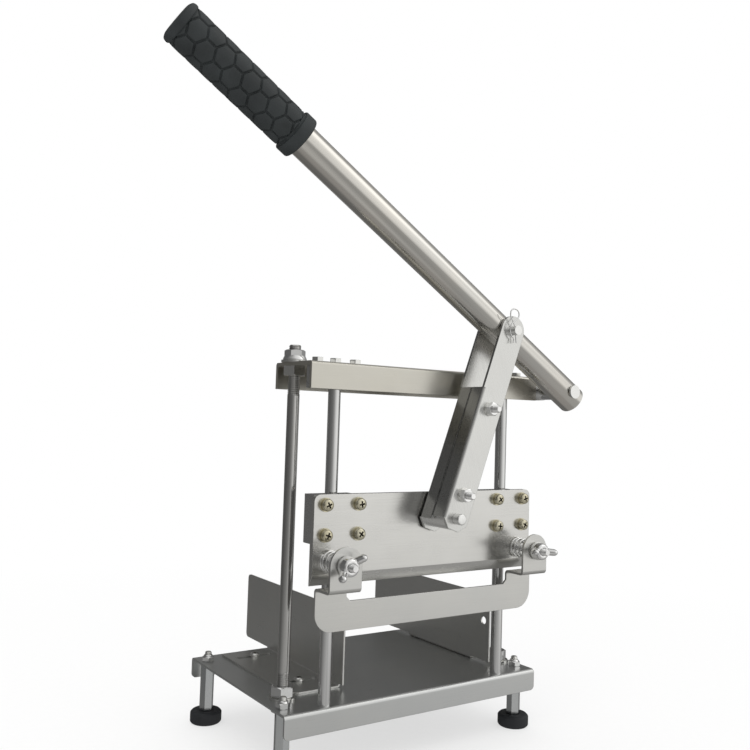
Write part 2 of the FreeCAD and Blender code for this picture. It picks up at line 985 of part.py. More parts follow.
def make_blocks():
    inner_end = rod_x - cell("block_screw_inward") - cell("block_end_margin")
    outer_end = rod_x + cell("block_screw_outward") + cell("block_end_margin")
    block = new_body("rod_block_left")
    sketch = new_sketch(block, "XY_Plane", block_low)
    draw_rectangle(sketch, -outer_end, beam_inner_front, -inner_end, block_rear)
    pad(block, sketch, beam_under_web - block_low)
    drill_block(block, -1)
    keep(block)

    # the right block runs out of the beam and ends round about the lever pivot
    bracket = new_body("lever_bracket")
    sketch = new_sketch(bracket, "XZ_Plane", -block_rear)
    draw_round_ended_slot(sketch, (rod_x, pivot_z), (pivot_x, pivot_z), half("block_height"))
    pad(bracket, sketch, cell("block_depth"))
    square_end = new_sketch(bracket, "XZ_Plane", -block_rear)
    draw_rectangle(square_end, inner_end, block_low, outer_end, beam_under_web)
    pad(bracket, square_end, cell("block_depth"))
    drill_block(bracket, 1)
    pivot_hole = new_sketch(bracket, "XZ_Plane", -block_rear)
    draw_circle(pivot_hole, pivot_x, pivot_z, half("pin_diameter"))
    pocket(bracket, pivot_hole)
    keep(bracket)

    screw = hexagon_screw(
        "beam_screw",
        cell("small_head_flats"),
        cell("small_head_height"),
        cell("block_screw_diameter"),
        cell("block_screw_depth"),
    )
    places = []
    for side in (-1, 1):
        for shift in block_screw_shifts:
            places.append(dict(across=(rod_x + shift) * side, along=rod_y, up=beam_top))
    copies("beam_screws", screw, places)


def make_lever_pivot():
    """The pin that the lever turns on, and the spacer that keeps the tube clear of the beam."""
    head = cell("pivot_head_thickness")
    head_seat = cell("side_gap")
    length = block_rear - tube_front + head_seat
    pin = plain_pin(
        "lever_pivot_pin",
        [
            (half("pin_diameter"), as_size(0), length),
            (half("pivot_head_diameter"), length, length + head),
        ],
    )
    keep(place(pin, pivot_x, block_rear, pivot_z, AXIS_X, 90))
    bush = sleeve(
        "pivot_spacer",
        cell("pivot_spacer_diameter"),
        cell("pin_diameter"),
        beam_inner_front - tube_rear - cell("side_gap"),
    )
    keep(place(bush, pivot_x, beam_inner_front, pivot_z, AXIS_X, 90))


# Fences


def make_fence(name, side, wall_x, wall_front, foot_width, foot_front, foot_rear, corner_cut):
    """An upright wall with a foot that points away from the feed channel."""
    body = new_body(name)
    thickness = cell("fence_sheet")
    bend = cell("fence_bend_radius")
    outer_face = wall_x if side < 0 else wall_x + thickness
    feed_face = wall_x + thickness if side < 0 else wall_x
    foot_edge = outer_face + foot_width * side
    rear = base_rear + cell("wall_beyond_base")
    step = cell("wall_underside")
    height = cell("fence_height")
    wall = new_sketch(body, "YZ_Plane", wall_x)
    draw_outline(
        wall,
        [
            (wall_front, step),
            (foot_front, step),
            (foot_front, as_size(0)),
            (foot_rear, as_size(0)),
            (foot_rear, step),
            (rear, step),
            (rear, height),
            (wall_front, height),
        ],
    )
    pad(body, wall, thickness)
    foot = new_sketch(body, "XY_Plane")
    draw_outline(
        foot,
        [
            (outer_face, foot_front),
            (foot_edge - corner_cut * side, foot_front),
            (foot_edge, foot_front + corner_cut),
            (foot_edge, foot_rear),
            (outer_face, foot_rear),
        ],
    )
    pad(body, foot, thickness)
    fillet(body, [(outer_face, 0, thickness)], AXIS_Y, bend)
    fillet(body, [(feed_face, 0, 0)], AXIS_Y, bend + thickness)
    fillet(body, [(wall_x, rear, step), (wall_x, rear, height)], AXIS_X, cell("wall_rear_corner"))
    return body


def make_fences():
    left = make_fence(
        "fence_left",
        -1,
        left_wall_x,
        base_front + cell("left_wall_setback"),
        cell("left_foot_width"),
        left_foot_front,
        left_foot_rear,
        cell("left_foot_corner_cut"),
    )
    slots = new_sketch(left, "XY_Plane")
    radius = half("fence_screw_diameter") + cell("fence_slot_play")
    slot_inner = left_wall_x - cell("fence_slot_wall_margin")
    slot_outer = slot_inner - cell("fence_slot_length")
    for _, along in left_screws:
        draw_round_ended_slot(slots, (slot_outer + radius, along), (slot_inner - radius, along), radius)
    pocket(left, slots)
    keep(left)
    right = make_fence(
        "fence_right",
        1,
        right_wall_x,
        base_front + cell("right_wall_setback"),
        cell("right_foot_width"),
        right_foot_front,
        right_foot_rear,
        cell("right_foot_corner_cut"),
    )
    holes = new_sketch(right, "XY_Plane")
    for across, along in right_screws:
        draw_circle(holes, across, along, half("fence_screw_diameter"))
    pocket(right, holes)
    hole = new_sketch(right, "YZ_Plane", right_wall_x)
    hole_y = base_front + cell("right_wall_setback") + cell("wall_hole_setback")
    draw_circle(hole, hole_y, cell("wall_hole_height"), half("wall_hole_diameter"))
    pocket(right, hole)
    keep(right)
    reach = cell("fence_sheet") + cell("base_sheet") + cell("fence_nut_height") + 1
    screw = cross_screw(
        "fence_screw",
        cell("fence_head_diameter"),
        cell("fence_head_height"),
        cell("fence_screw_diameter"),
        reach,
    )
    nut = hexagon_nut("fence_nut", cell("fence_nut_flats"), cell("fence_nut_height"), cell("fence_screw_diameter"))
    places = left_screws + right_screws
    copies("fence_screws", screw, [dict(across=x, along=y, up=cell("fence_sheet")) for x, y in places])
    copies(
        "fence_nuts",
        nut,
        [dict(across=x, along=y, up=base_under, axis=AXIS_X, angle=180) for x, y in places],
    )


# Blade carriage


def make_blade_plate():
    """The carriage plate, ground to an edge along its front below."""
    body = new_body("blade_plate")
    sketch = new_sketch(body, "YZ_Plane", -blade_half_width)
    draw_outline(
        sketch,
        [
            (blade_rear, blade_edge),
            (blade_rear, blade_top),
            (blade_front, blade_top),
            (blade_front, plate_bottom),
            (blade_rear - cell("blade_edge_thickness"), blade_edge),
        ],
    )
    pad(body, sketch, blade_half_width * 2)
    holes = new_sketch(body, "XZ_Plane", -blade_rear)
    for across, up in carriage_screw_places():
        draw_circle(holes, across, up, half("carriage_screw_diameter"))
    for side in (-1, 1):
        draw_circle(holes, stud_x * side, stud_z, half("stud_diameter"))
    pocket(body, holes)
    # the link's foot pin rides in this slot, since link and carriage move at steady ratios
    slot = new_sketch(body, "XZ_Plane", -blade_rear)
    radius = half("pin_diameter") + cell("foot_slot_rise") + cell("foot_slot_play")
    slot_left = (-cell("foot_slot_left"), foot_pin_z)
    slot_right = (cell("foot_slot_right"), foot_pin_z)
    draw_round_ended_slot(slot, slot_left, slot_right, radius)
    pocket(body, slot)
    corners = [(side, blade_rear, blade_top) for side in (-blade_half_width, blade_half_width)]
    fillet(body, corners, AXIS_Y, cell("blade_corner_radius"))
    return keep(body)


def carriage_screw_places():
    high = blade_top - cell("carriage_screw_below_top")
    places = []
    for up in (high, high - cell("carriage_screw_rise")):
        for across in (rod_x + cell("carriage_screw_outward"), rod_x - cell("carriage_screw_inward")):
            places.append((-across, up))
            places.append((across, up))
    return places


def make_sliders():
    """Blocks behind the plate that ride on the guide rods, each with its bush."""
    low = blade_top - cell("slider_block_below_top") - cell("slider_block_height")
    rear = blade_rear + cell("slider_block_depth")
    bush_outer = rod_radius + cell("slider_clearance") + cell("slider_bush_wall")
    depth = cell("carriage_screw_depth") - cell("blade_thickness")
    inner = rod_x - cell("slider_block_inward")
    outer = rod_x + cell("slider_block_outward")
    for name, side in (("left", -1), ("right", 1)):
        block = new_body(f"slider_block_{name}")
        sketch = new_sketch(block, "XY_Plane", low)
        left_face, right_face = (-outer, -inner) if side < 0 else (inner, outer)
        draw_rectangle(sketch, left_face, blade_rear, right_face, rear)
        draw_circle(sketch, rod_x * side, rod_y, bush_outer)
        pad(block, sketch, cell("slider_block_height"))
        holes = new_sketch(block, "XZ_Plane", -blade_rear)
        for across, up in carriage_screw_places():
            if across.value * side > 0:
                draw_circle(holes, across, up, half("carriage_screw_diameter"))
        pocket(block, holes, depth)
        keep(block)
        bush = sleeve(
            f"slider_bush_{name}",
            bush_outer * 2,
            cell("rod_diameter") + cell("slider_clearance") * 2,
            cell("slider_block_height"),
        )
        keep(place(bush, rod_x * side, rod_y, low))


def make_carriage_screws():
    """Cross-head screws, each on a flat washer and a spring washer."""
    disc = washer(
        "carriage_washer",
        cell("carriage_washer_diameter"),
        cell("carriage_screw_diameter"),
        cell("carriage_washer_thickness"),
    )
    lock = spring_washer(
        "carriage_spring_washer",
        cell("carriage_spring_washer_diameter"),
        cell("carriage_screw_diameter"),
        cell("carriage_spring_washer_thickness"),
    )
    stack = cell("carriage_washer_thickness") + cell("carriage_spring_washer_thickness")
    screw = cross_screw(
        "carriage_screw",
        cell("carriage_head_diameter"),
        cell("carriage_head_height"),
        cell("carriage_screw_diameter"),
        cell("carriage_screw_depth") + stack,
    )
    places = carriage_screw_places()
    for name, master, seat in (
        ("carriage_washers", disc, blade_front),
        ("carriage_spring_washers", lock, blade_front - cell("carriage_washer_thickness")),
        ("carriage_screws", screw, blade_front - stack),
    ):
        copies(name, master, [dict(across=x, along=seat, up=z, axis=AXIS_X, angle=90) for x, z in places])


def make_gauge_studs():
    length = blade_rear - stud_end
    bevel = half("stud_diameter") / 5
    zero = as_size(0)
    radius = half("stud_diameter")
    for name, side in (("gauge_stud_left", -1), ("gauge_stud_right", 1)):
        body = new_body(name)
        turn_profile(
            body,
            [
                (zero, zero),
                (radius, zero),
                (radius, length - bevel),
                (radius - bevel, length),
                (zero, length),
            ],
        )
        keep(place(body, stud_x * side, blade_rear, stud_z, AXIS_X, 90))


# Gauge


def make_gauge_plate():
    """One bent sheet: a window-edged plate, a shelf and an ear at each end."""
    body = new_body("gauge_plate")
    width = blade_half_width - cell("gauge_side_inset")
    low = shelf_top - cell("gauge_bottom_below_shelf")
    window = shelf_top - cell("gauge_window_below_shelf")
    step = cell("gauge_window_step")
    window_x = rod_x - cell("gauge_window_inside_rod")
    arm = window_x + step
    sheet_thickness = cell("gauge_sheet")
    main = new_sketch(body, "XZ_Plane", -gauge_rear)
    draw_outline(
        main,
        [
            (-width, low),
            (width, low),
            (width, shelf_top),
            (arm, shelf_top),
            (arm, window + step),
            (window_x, window),
            (-window_x, window),
            (-arm, window + step),
            (-arm, shelf_top),
            (-width, shelf_top),
        ],
    )
    pad(body, main, sheet_thickness)
    shelf = new_sketch(body, "XY_Plane", shelf_low)
    draw_rectangle(shelf, -width, ear_front, -arm, gauge_front)
    draw_rectangle(shelf, arm, ear_front, width, gauge_front)
    pad(body, shelf, sheet_thickness)
    ears = new_sketch(body, "XZ_Plane", -ear_rear)
    ear_top = shelf_low + cell("gauge_ear_height")
    draw_rectangle(ears, -width, shelf_low, -arm, ear_top)
    draw_rectangle(ears, arm, shelf_low, width, ear_top)
    pad(body, ears, sheet_thickness)
    holes = new_sketch(body, "XZ_Plane", -ear_rear)
    for side in (-1, 1):
        draw_circle(holes, stud_x * side, stud_z, gauge_hole_radius)
    pocket(body, holes, sheet_thickness, reverse=True)
    fillet(body, [(-width, gauge_rear, low), (width, gauge_rear, low)], AXIS_Y, cell("gauge_corner_radius"))
    tops = [(x, ear_rear, ear_top) for x in (-width, -arm, arm, width)]
    fillet(body, tops, AXIS_Y, cell("gauge_ear_radius"))
    bend = cell("gauge_bend_radius")
    for across_bend in ((ear_front, shelf_low), (gauge_rear, shelf_top)):
        fillet(body, [(0, *across_bend)], AXIS_X, bend)
    for inside_bend in ((ear_rear, shelf_top), (gauge_front, shelf_low)):
        fillet(body, [(0, *inside_bend)], AXIS_X, bend - sheet_thickness)
    return keep(body)


def make_gauge_washers():
    disc = washer(
        "gauge_washer",
        cell("gauge_washer_diameter"),
        gauge_hole_radius * 2,
        cell("gauge_washer_thickness"),
    )
    copies(
        "gauge_washers",
        disc,
        [dict(across=stud_x * s, along=ear_front, up=stud_z, axis=AXIS_X, angle=90) for s in (-1, 1)],
    )


def make_gauge_inner_washers():
    """Wide washers between the springs and the ears."""
    thickness = cell("gauge_inner_washer_thickness")
    disc = washer("gauge_inner_washer", cell("gauge_inner_washer_diameter"), gauge_hole_radius * 2, thickness)
    seat = ear_rear + thickness
    copies(
        "gauge_inner_washers",
        disc,
        [dict(across=stud_x * s, along=seat, up=stud_z, axis=AXIS_X, angle=90) for s in (-1, 1)],
    )


def arc_edge(start, direction, end):
    """The arc that leaves start along direction and reaches end."""
    chord = end - start
    tangent = FreeCAD.Vector(direction).normalize()
    across = tangent - chord * (tangent.dot(chord) / chord.dot(chord))
    angle = tangent.getAngle(chord)
    if angle < TOUCH:
        return Part.LineSegment(start, end).toShape()
    bulge = across.normalize() * (chord.Length / 2 * math.tan(angle / 2))
    return Part.Arc(start, start + chord / 2 + bulge, end).toShape()


def biarc(start, start_direction, end, end_direction):
    """Two arcs that meet smoothly, and leave and arrive along the two directions."""
    span = end - start
    both = start_direction + end_direction
    spread = both.dot(both) - 4
    lean = span.dot(both)
    if abs(spread) < TOUCH * TOUCH:
        reach = span.dot(span) / (2 * lean)
    else:
        reach = (lean - math.sqrt(lean * lean - spread * span.dot(span))) / spread
    near = start + start_direction * reach
    far = end - end_direction * reach
    joint = (near + far) / 2
    return [arc_edge(start, start_direction, joint), arc_edge(joint, far - near, end)]


def spring_route(radius, wire, length, turns):
    """Points and directions of a spring on Z: a straight end, quarter turns, a straight end."""
    lead = 2 * wire
    quarters = round(turns * 4)
    rise = (length - 2 * (wire + lead)) / quarters

    def on_coil(number):
        angle = math.pi / 2 * number
        spot = FreeCAD.Vector(radius * math.cos(angle), radius * math.sin(angle), wire + lead + rise * number)
        slope = rise / (math.pi / 2)
        way = FreeCAD.Vector(-radius * math.sin(angle), radius * math.cos(angle), slope)
        return spot, way.normalize()

    coil = [on_coil(number) for number in range(quarters + 1)]

    def end_station(station, sign, height):
        spot, way = station
        level = FreeCAD.Vector(way.x, way.y, 0).normalize()
        foot = spot + level * (lead * sign)
        foot.z = height
        return foot, FreeCAD.Vector(0, 0, 1)

    return [end_station(coil[0], -1, wire), *coil, end_station(coil[-1], 1, length - wire)]


def least_gap(points, wire, skip):
    """The smallest distance between the wire's surfaces at points further apart than skip."""
    least = LARGE
    for number, one in enumerate(points):
        for other in points[number + skip:]:
            least = min(least, (one - other).Length - wire)
    return least


def make_springs():
    """A compression spring on each stud, as one unbroken wire."""
    wire = cell("spring_wire").value
    radius = (cell("spring_outer_diameter").value - wire) / 2
    free = blade_front - ear_rear - cell("gauge_inner_washer_thickness")
    length = (free - cell("spring_seat_gap")).value
    stations = spring_route(radius, wire, length, cell("spring_turns").value)
    first = stations[0][0]
    last = stations[-1][0]
    foot = FreeCAD.Vector(first.x, first.y, 0)
    head = FreeCAD.Vector(last.x, last.y, length)
    edges = [Part.LineSegment(foot, first).toShape()]
    for (start, leaving), (end, arriving) in zip(stations, stations[1:]):
        edges += biarc(start, leaving, end, arriving)
    edges.append(Part.LineSegment(last, head).toShape())
    route = Part.Wire(edges)
    profile = Part.Wire(Part.Circle(foot, AXIS_Z, wire / 2).toShape())
    solid = route.makePipeShell([profile], True, False)
    points = route.discretize(Distance=wire / 4)
    print("spring least gap", round(least_gap(points, wire, 14), 2), "mm")
    print("spring least bend radius", round(min(e.Curve.Radius for e in edges[1:-1]), 2), "mm")
    for name, side in (("spring_left", -1), ("spring_right", 1)):
        spring = doc.addObject("Part::Feature", name)
        spring.Label = name
        spring.Shape = solid
        keep(place(spring, stud_x * side, blade_front, stud_z, AXIS_X, 90))


def make_wing_nuts():
    """A cone-shaped hub with two rounded wings, one nut on each stud."""
    base_radius = half("wing_nut_hub_diameter")
    top_radius = half("wing_nut_hub_top_diameter")
    height = cell("wing_nut_hub_height")
    bore = half("stud_diameter") + cell("pin_clearance")
    span = cell("wing_nut_half_span")
    rise = cell("wing_nut_wing_rise")
    thick = cell("wing_thickness")
    zero = as_size(0)
    seat = ear_front - cell("gauge_washer_thickness")
    for name, side, angle in (
        ("wing_nut_left", -1, -cell("wing_nut_left_angle")),
        ("wing_nut_right", 1, -cell("wing_nut_right_angle")),
    ):
        body = new_body(name)
        turn_profile(
            body,
            [(zero, zero), (base_radius, zero), (top_radius, height), (zero, height)],
        )
        for way in (-1, 1):
            wing = new_sketch(body, "XZ_Plane", -thick / 2)
            draw_outline(
                wing,
                [
                    (top_radius * 0.6 * way, height * 0.15),
                    (base_radius * way, height * 0.15),
                    (span * 0.92 * way, rise * 0.55),
                    (span * way, rise * 0.78),
                    (span * 0.94 * way, rise * 0.95),
                    (span * 0.8 * way, rise),
                    (span * 0.62 * way, rise * 0.93),
                    (top_radius * 0.6 * way, height * 0.85),
                ],
            )
            pad(body, wing, thick)
        bore_sketch = new_sketch(body, "XY_Plane")
        draw_circle(bore_sketch, 0, 0, bore)
        pocket(body, bore_sketch)
        turned = FreeCAD.Rotation(AXIS_Y, angle.value).multiply(FreeCAD.Rotation(AXIS_X, 90))
        body.Placement = FreeCAD.Placement(FreeCAD.Vector(0, 0, 0), turned)
        keep(place(body, stud_x * side, seat, stud_z))


# Link


link_lower_bolt = cell("link_length") - cell("link_bolt_above_foot")


def link_place(distance, along, angle=90):
    """The place of a cross piece at a distance down the link from its top pin."""
    across = top_pin_x - distance * sine(link_tilt)
    up = top_pin_z - distance * cosine(link_tilt)
    return dict(across=across, along=along, up=up, axis=AXIS_X, angle=angle)


def make_link_plate(name, inner, outer, lip_edge, end):
    """A strap with a round top, a chamfered foot and a lip folded in along its left side."""
    body = new_body(name)
    radius = half("link_width")
    sheet_thickness = cell("link_sheet")
    facing = inner if inner.value > outer.value else outer
    zero = as_size(0)
    length = cell("link_length")
    cut = cell("link_end_chamfer")
    foot_end = length + end
    side_end = foot_end - cut
    lip_start = cell("link_lip_start")
    bend_end = -radius + cell("link_bend_reach")
    lip = new_sketch(body, "XY_Plane", -side_end)
    draw_outline(
        lip,
        [
            (-radius, lip_edge),
            (-radius + sheet_thickness, lip_edge),
            (-radius + sheet_thickness, inner),
            (bend_end, inner),
            (bend_end, outer),
            (-radius, outer),
        ],
    )
    pad(body, lip, side_end - lip_start)
    fillet(body, [(-radius, outer, 0)], AXIS_Z, cell("link_bend_radius"))
    strap = new_sketch(body, "XZ_Plane", -facing)
    draw_outline(
        strap,
        [
            (-radius, zero),
            (-radius, -lip_start),
            (bend_end, -lip_start),
            (bend_end, -side_end),
            (-radius, -side_end),
            (-radius + cut, -foot_end),
            (radius - cut, -foot_end),
            (radius, -side_end),
            (radius, zero),
        ],
    )
    pad(body, strap, sheet_thickness)
    top = new_sketch(body, "XZ_Plane", -facing)
    draw_circle(top, 0, 0, radius)
    pad(body, top, sheet_thickness)
    holes = new_sketch(body, "XZ_Plane", -facing)
    for distance, hole in (
        (zero, half("pin_diameter")),
        (length, half("pin_diameter")),
        (cell("link_bolt_upper"), half("link_bolt_diameter")),
        (link_lower_bolt, half("link_bolt_diameter")),
    ):
        draw_circle(holes, 0, -distance, hole)
    pocket(body, holes)
    return keep(place(body, top_pin_x, 0, top_pin_z, AXIS_Y, link_tilt))


def make_link():
    seam = cell("link_lip_seam") / 2
    make_link_plate("link_rear_plate", link_rear_inner, link_rear_outer, lever_y + seam, cell("link_rear_end"))
    make_link_plate("link_front_plate", link_front_inner, link_front_outer, lever_y - seam, cell("link_front_end"))
    gap = link_rear_inner - link_front_inner
    bolts = (cell("link_bolt_upper"), link_lower_bolt)
    bolt_diameter = cell("link_bolt_diameter")
    spacer = sleeve("link_spacer", cell("link_spacer_diameter"), bolt_diameter, gap)
    copies("link_spacers", spacer, [link_place(d, link_rear_inner) for d in bolts])
    head = cell("link_bolt_head_thickness")
    tip = link_rear_outer - link_front_outer + cell("link_washer_thickness")
    tip = tip + cell("link_nut_height") + cell("link_bolt_end")
    bolt = plain_pin(
        "link_bolt",
        [
            (half("link_bolt_head_diameter"), -head, as_size(0)),
            (bolt_diameter / 2, as_size(0), tip),
        ],
    )
    copies("link_bolts", bolt, [link_place(d, link_rear_outer) for d in bolts])
    disc = washer("link_washer", cell("link_washer_diameter"), bolt_diameter, cell("link_washer_thickness"))
    copies("link_washers", disc, [link_place(d, link_front_outer) for d in bolts])
    nut = hexagon_nut("link_nut", cell("link_nut_flats"), cell("link_nut_height"), bolt_diameter)
    nut_seat = link_front_outer - cell("link_washer_thickness")
    copies("link_nuts", nut, [link_place(d, nut_seat) for d in bolts])


def make_link_pins():
    zero = as_size(0)
    radius = half("pin_diameter")
    depth = link_rear_outer - link_front_outer
    head = cell("top_pin_head_thickness")
    top = plain_pin(
        "link_top_pin",
        [
            (half("top_pin_head_diameter"), -head, zero),
            (radius, zero, depth + cell("top_pin_end")),
        ],
    )
    cross_hole = new_sketch(top, "XZ_Plane")
    draw_circle(cross_hole, 0, depth + half("top_pin_end"), half("clip_hole"))
    pocket(top, cross_hole)
    keep(place(top, top_pin_x, link_rear_outer, top_pin_z, AXIS_X, 90))
    foot_depth = blade_rear - link_front_outer
    foot = plain_pin(
        "link_foot_pin",
        [
            (radius, zero, foot_depth),
            (half("foot_pin_head_diameter"), foot_depth, foot_depth + cell("foot_pin_head_thickness")),
        ],
    )
    keep(place(foot, 0, blade_rear, foot_pin_z, AXIS_X, 90))
    inner = sleeve(
        "foot_pin_sleeve",
        cell("foot_boss_diameter"),
        cell("pin_diameter"),
        link_rear_inner - link_front_inner,
    )
    keep(place(inner, 0, link_rear_inner, foot_pin_z, AXIS_X, 90))


def make_retaining_clip():
    """A wire clip: one leg through the pin, the other sprung round its outside."""
    wire = cell("clip_wire").value
    ring = cell("clip_ring_radius").value
    ring_height = cell("clip_ring_height").value
    leg = cell("clip_leg_below").value
    waist = half("pin_diameter").value + wire / 2 + cell("clip_play").value
    stations = [
        ((0, -leg), (0, 1)),
        ((0, ring_height), (0, 1)),
        ((ring, ring_height + ring), (1, 0)),
        ((2 * ring, ring_height), (0, -1)),
        ((waist * 0.78, waist * 0.8), (-0.35, -0.94)),
        ((waist, 0), (0, -1)),
        ((waist * 0.9, -waist), (0.25, -0.97)),
        ((waist * 1.3, -leg), (0.4, -0.92)),
    ]
    spots = []
    for (across, up), (right, rise) in stations:
        spot = FreeCAD.Vector(across, 0, up)
        spots.append((spot, FreeCAD.Vector(right, 0, rise).normalize()))
    edges = [Part.LineSegment(spots[0][0], spots[1][0]).toShape()]
    for (start, leaving), (end, arriving) in zip(spots[1:], spots[2:]):
        edges += biarc(start, leaving, end, arriving)
    route = Part.Wire(edges)
    profile = Part.Wire(Part.Circle(spots[0][0], AXIS_Z, wire / 2).toShape())
    clip = doc.addObject("Part::Feature", "retaining_clip")
    clip.Label = "retaining_clip"
    clip.Shape = route.makePipeShell([profile], True, False)
    keep(place(clip, top_pin_x, link_front_outer - half("top_pin_end"), top_pin_z))


# Lever


def make_lever_tube():
    """The long tube, cross-drilled for the pivot pin and the link's top pin."""
    body = new_body("lever_tube")
    end = cell("grip_start") + cell("tube_length_in_grip")
    sketch = new_sketch(body, "YZ_Plane", -end)
    draw_circle(sketch, lever_y, 0, tube_radius)
    draw_circle(sketch, lever_y, 0, tube_radius - cell("tube_wall"))
    pad(body, sketch, end + cell("tube_tail"))
    holes = new_sketch(body, "XZ_Plane", -lever_y)
    hole = half("pin_diameter") + cell("pin_clearance")
    draw_circle(holes, 0, 0, hole)
    draw_circle(holes, -cell("link_pin_distance"), 0, hole)
    pocket(body, holes)
    return keep(place(body, pivot_x, 0, pivot_z, AXIS_Y, cell("lever_angle")))


def make_grip():
    """A closed moulded grip with a collar and an end flange."""
    body = new_body("lever_grip")
    zero = as_size(0)
    body_radius = half("grip_diameter")
    collar = half("grip_collar_diameter")
    flange = half("grip_flange_diameter")
    length = cell("grip_length")
    collar_length = cell("grip_collar_length")
    flange_start = length - cell("grip_flange_length")
    soft = cell("grip_rounding")
    depth = cell("tube_length_in_grip")
    turn_profile(
        body,
        [
            (tube_radius, zero),
            (collar - soft, zero),
            (collar, soft),
            (collar, collar_length - soft),
            (collar - soft / 2, collar_length),
            (body_radius, collar_length + soft / 2),
            (body_radius, flange_start - soft),
            (flange, flange_start),
            (flange, length - soft),
            (flange - soft, length),
            (zero, length),
            (zero, depth),
            (tube_radius, depth),
        ],
    )
    # the grip points along the tube, away from the pivot
    away = cell("grip_start")
    turned = FreeCAD.Rotation(AXIS_Y, cell("lever_angle").value - 90)
    body.Placement = FreeCAD.Placement(FreeCAD.Vector(0, 0, 0), turned)
    across = pivot_x - away * cosine(cell("lever_angle"))
    up = pivot_z + away * sine(cell("lever_angle"))
    return keep(place(body, across, lever_y, up))


def check_document():
    """Stop if any object failed or any sub-part has no valid solid."""
    for thing in doc.Objects:
        if "Invalid" in thing.State or "Error" in thing.State:
            raise RuntimeError(f"{thing.Label} did not recompute")
    for piece in pieces:
        shape = piece.Shape
        if shape.isNull() or not shape.isValid() or not shape.Solids:
            raise RuntimeError(f"{piece.Label} has no valid solid")


make_base_tray()
make_feet()
make_guide_rods()
make_columns()
make_top_beam()
make_blocks()
make_lever_pivot()
make_fences()
make_blade_plate()
make_sliders()
make_carriage_screws()
make_gauge_studs()
make_gauge_plate()
make_gauge_washers()
make_gauge_inner_washers()
make_springs()
make_wing_nuts()
make_link()
make_link_pins()
make_retaining_clip()
make_lever_tube()
make_grip()
doc.recompute()
check_document()

os.makedirs("parts", exist_ok=True)
for piece in pieces:
    piece.Shape.exportStep(f"parts/{piece.Label}.step")
print(len(pieces), "sub-parts written")
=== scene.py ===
import json
import math

import bmesh
import bpy
from mathutils import Matrix, Vector


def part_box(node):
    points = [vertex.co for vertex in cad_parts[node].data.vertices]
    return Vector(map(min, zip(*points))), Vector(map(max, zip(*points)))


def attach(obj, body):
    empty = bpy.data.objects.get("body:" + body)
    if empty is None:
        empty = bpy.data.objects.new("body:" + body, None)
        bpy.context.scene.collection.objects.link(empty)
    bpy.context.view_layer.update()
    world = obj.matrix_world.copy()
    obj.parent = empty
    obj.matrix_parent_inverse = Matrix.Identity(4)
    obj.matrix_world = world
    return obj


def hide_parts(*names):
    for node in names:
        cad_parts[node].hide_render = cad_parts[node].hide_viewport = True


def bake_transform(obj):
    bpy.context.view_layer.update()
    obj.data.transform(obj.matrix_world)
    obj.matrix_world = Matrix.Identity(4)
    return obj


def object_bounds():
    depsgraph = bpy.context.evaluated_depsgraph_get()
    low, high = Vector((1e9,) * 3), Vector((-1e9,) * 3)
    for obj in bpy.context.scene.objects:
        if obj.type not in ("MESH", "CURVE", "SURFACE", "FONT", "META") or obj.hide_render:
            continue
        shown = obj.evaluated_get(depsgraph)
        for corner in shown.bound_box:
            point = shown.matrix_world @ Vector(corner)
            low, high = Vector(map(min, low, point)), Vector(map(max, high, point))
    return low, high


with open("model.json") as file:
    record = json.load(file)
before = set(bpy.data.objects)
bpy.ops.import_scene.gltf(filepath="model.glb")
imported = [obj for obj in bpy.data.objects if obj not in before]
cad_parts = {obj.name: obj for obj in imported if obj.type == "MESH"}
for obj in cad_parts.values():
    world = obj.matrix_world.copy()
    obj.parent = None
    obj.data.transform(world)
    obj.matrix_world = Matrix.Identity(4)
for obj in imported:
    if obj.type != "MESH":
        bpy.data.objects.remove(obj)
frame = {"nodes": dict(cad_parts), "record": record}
cad_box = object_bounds()
MM = 0.001
TINY = 1e-6

# Directions; an ALONG value is the turn that brings X onto the direction
UP = (0.0, 0.0, 1.0)
RIGHT = (1.0, 0.0, 0.0)
FORWARD = (0.0, -1.0, 0.0)
LINK_TILT = math.radians(20.07)
LEVER_TILT = math.radians(31.8)
ALONG_X = (0.0, 0.0, 0.0)
ALONG_Y = (0.0, 0.0, math.radians(90))
ALONG_Z = (0.0, math.radians(90), 0.0)
ALONG_LINK = (0.0, math.radians(90) - LINK_TILT, 0.0)
ALONG_LEVER = (0.0, LEVER_TILT, 0.0)

# Places of the CAD pieces, in millimetres
LEVER_PIVOT = Vector((135.5, -113.0, 254.2))
TOP_PIN_X, TOP_PIN_Z = 57.31, 302.68
CLIP_Y = -131.75
LINK_SEAM_Y = -113.0
LINK_BOLTS_DOWN = (72.0, 147.0)
COLUMNS = ((-110.5, -51.5), (116.9, -51.5))
FEET = [(x, y) for x in (-121, 121) for y in (-72, 72)]
STUD_X, STUD_Z = 98.5, 113.5
CARRIAGE_SCREWS = [(x, z) for x in (-103.0, -73.0, 73.0, 103.0) for z in (156.7, 133.5)]
FENCE_SCREWS = ((-79, -22), (-79, 62), (114, -20), (114, 47))
SIDES = ((-1, "left"), (1, "right"))

# Camera, at the photograph's place
HEADING, PITCH, ROLL = 34.156, 3.271, 1.80
CAMERA_PLACE = (-0.43938, -0.65306, 0.22047)
FOCAL_PIXELS, PHOTO_PIXELS, SENSOR = 841.08, 750, 36.0


def basis(azimuth, elevation, roll):
    """The camera's right, up and backward directions, from degrees."""
    a, e, r = (math.radians(v) for v in (azimuth, elevation, roll))
    ahead = Vector((math.sin(a) * math.cos(e), math.cos(a) * math.cos(e), math.sin(e)))
    right = Vector((math.cos(a), -math.sin(a), 0.0))
    up = right.cross(ahead)
    side = right * math.cos(r) + up * math.sin(r)
    top = up * math.cos(r) - right * math.sin(r)
    return side, top, -ahead


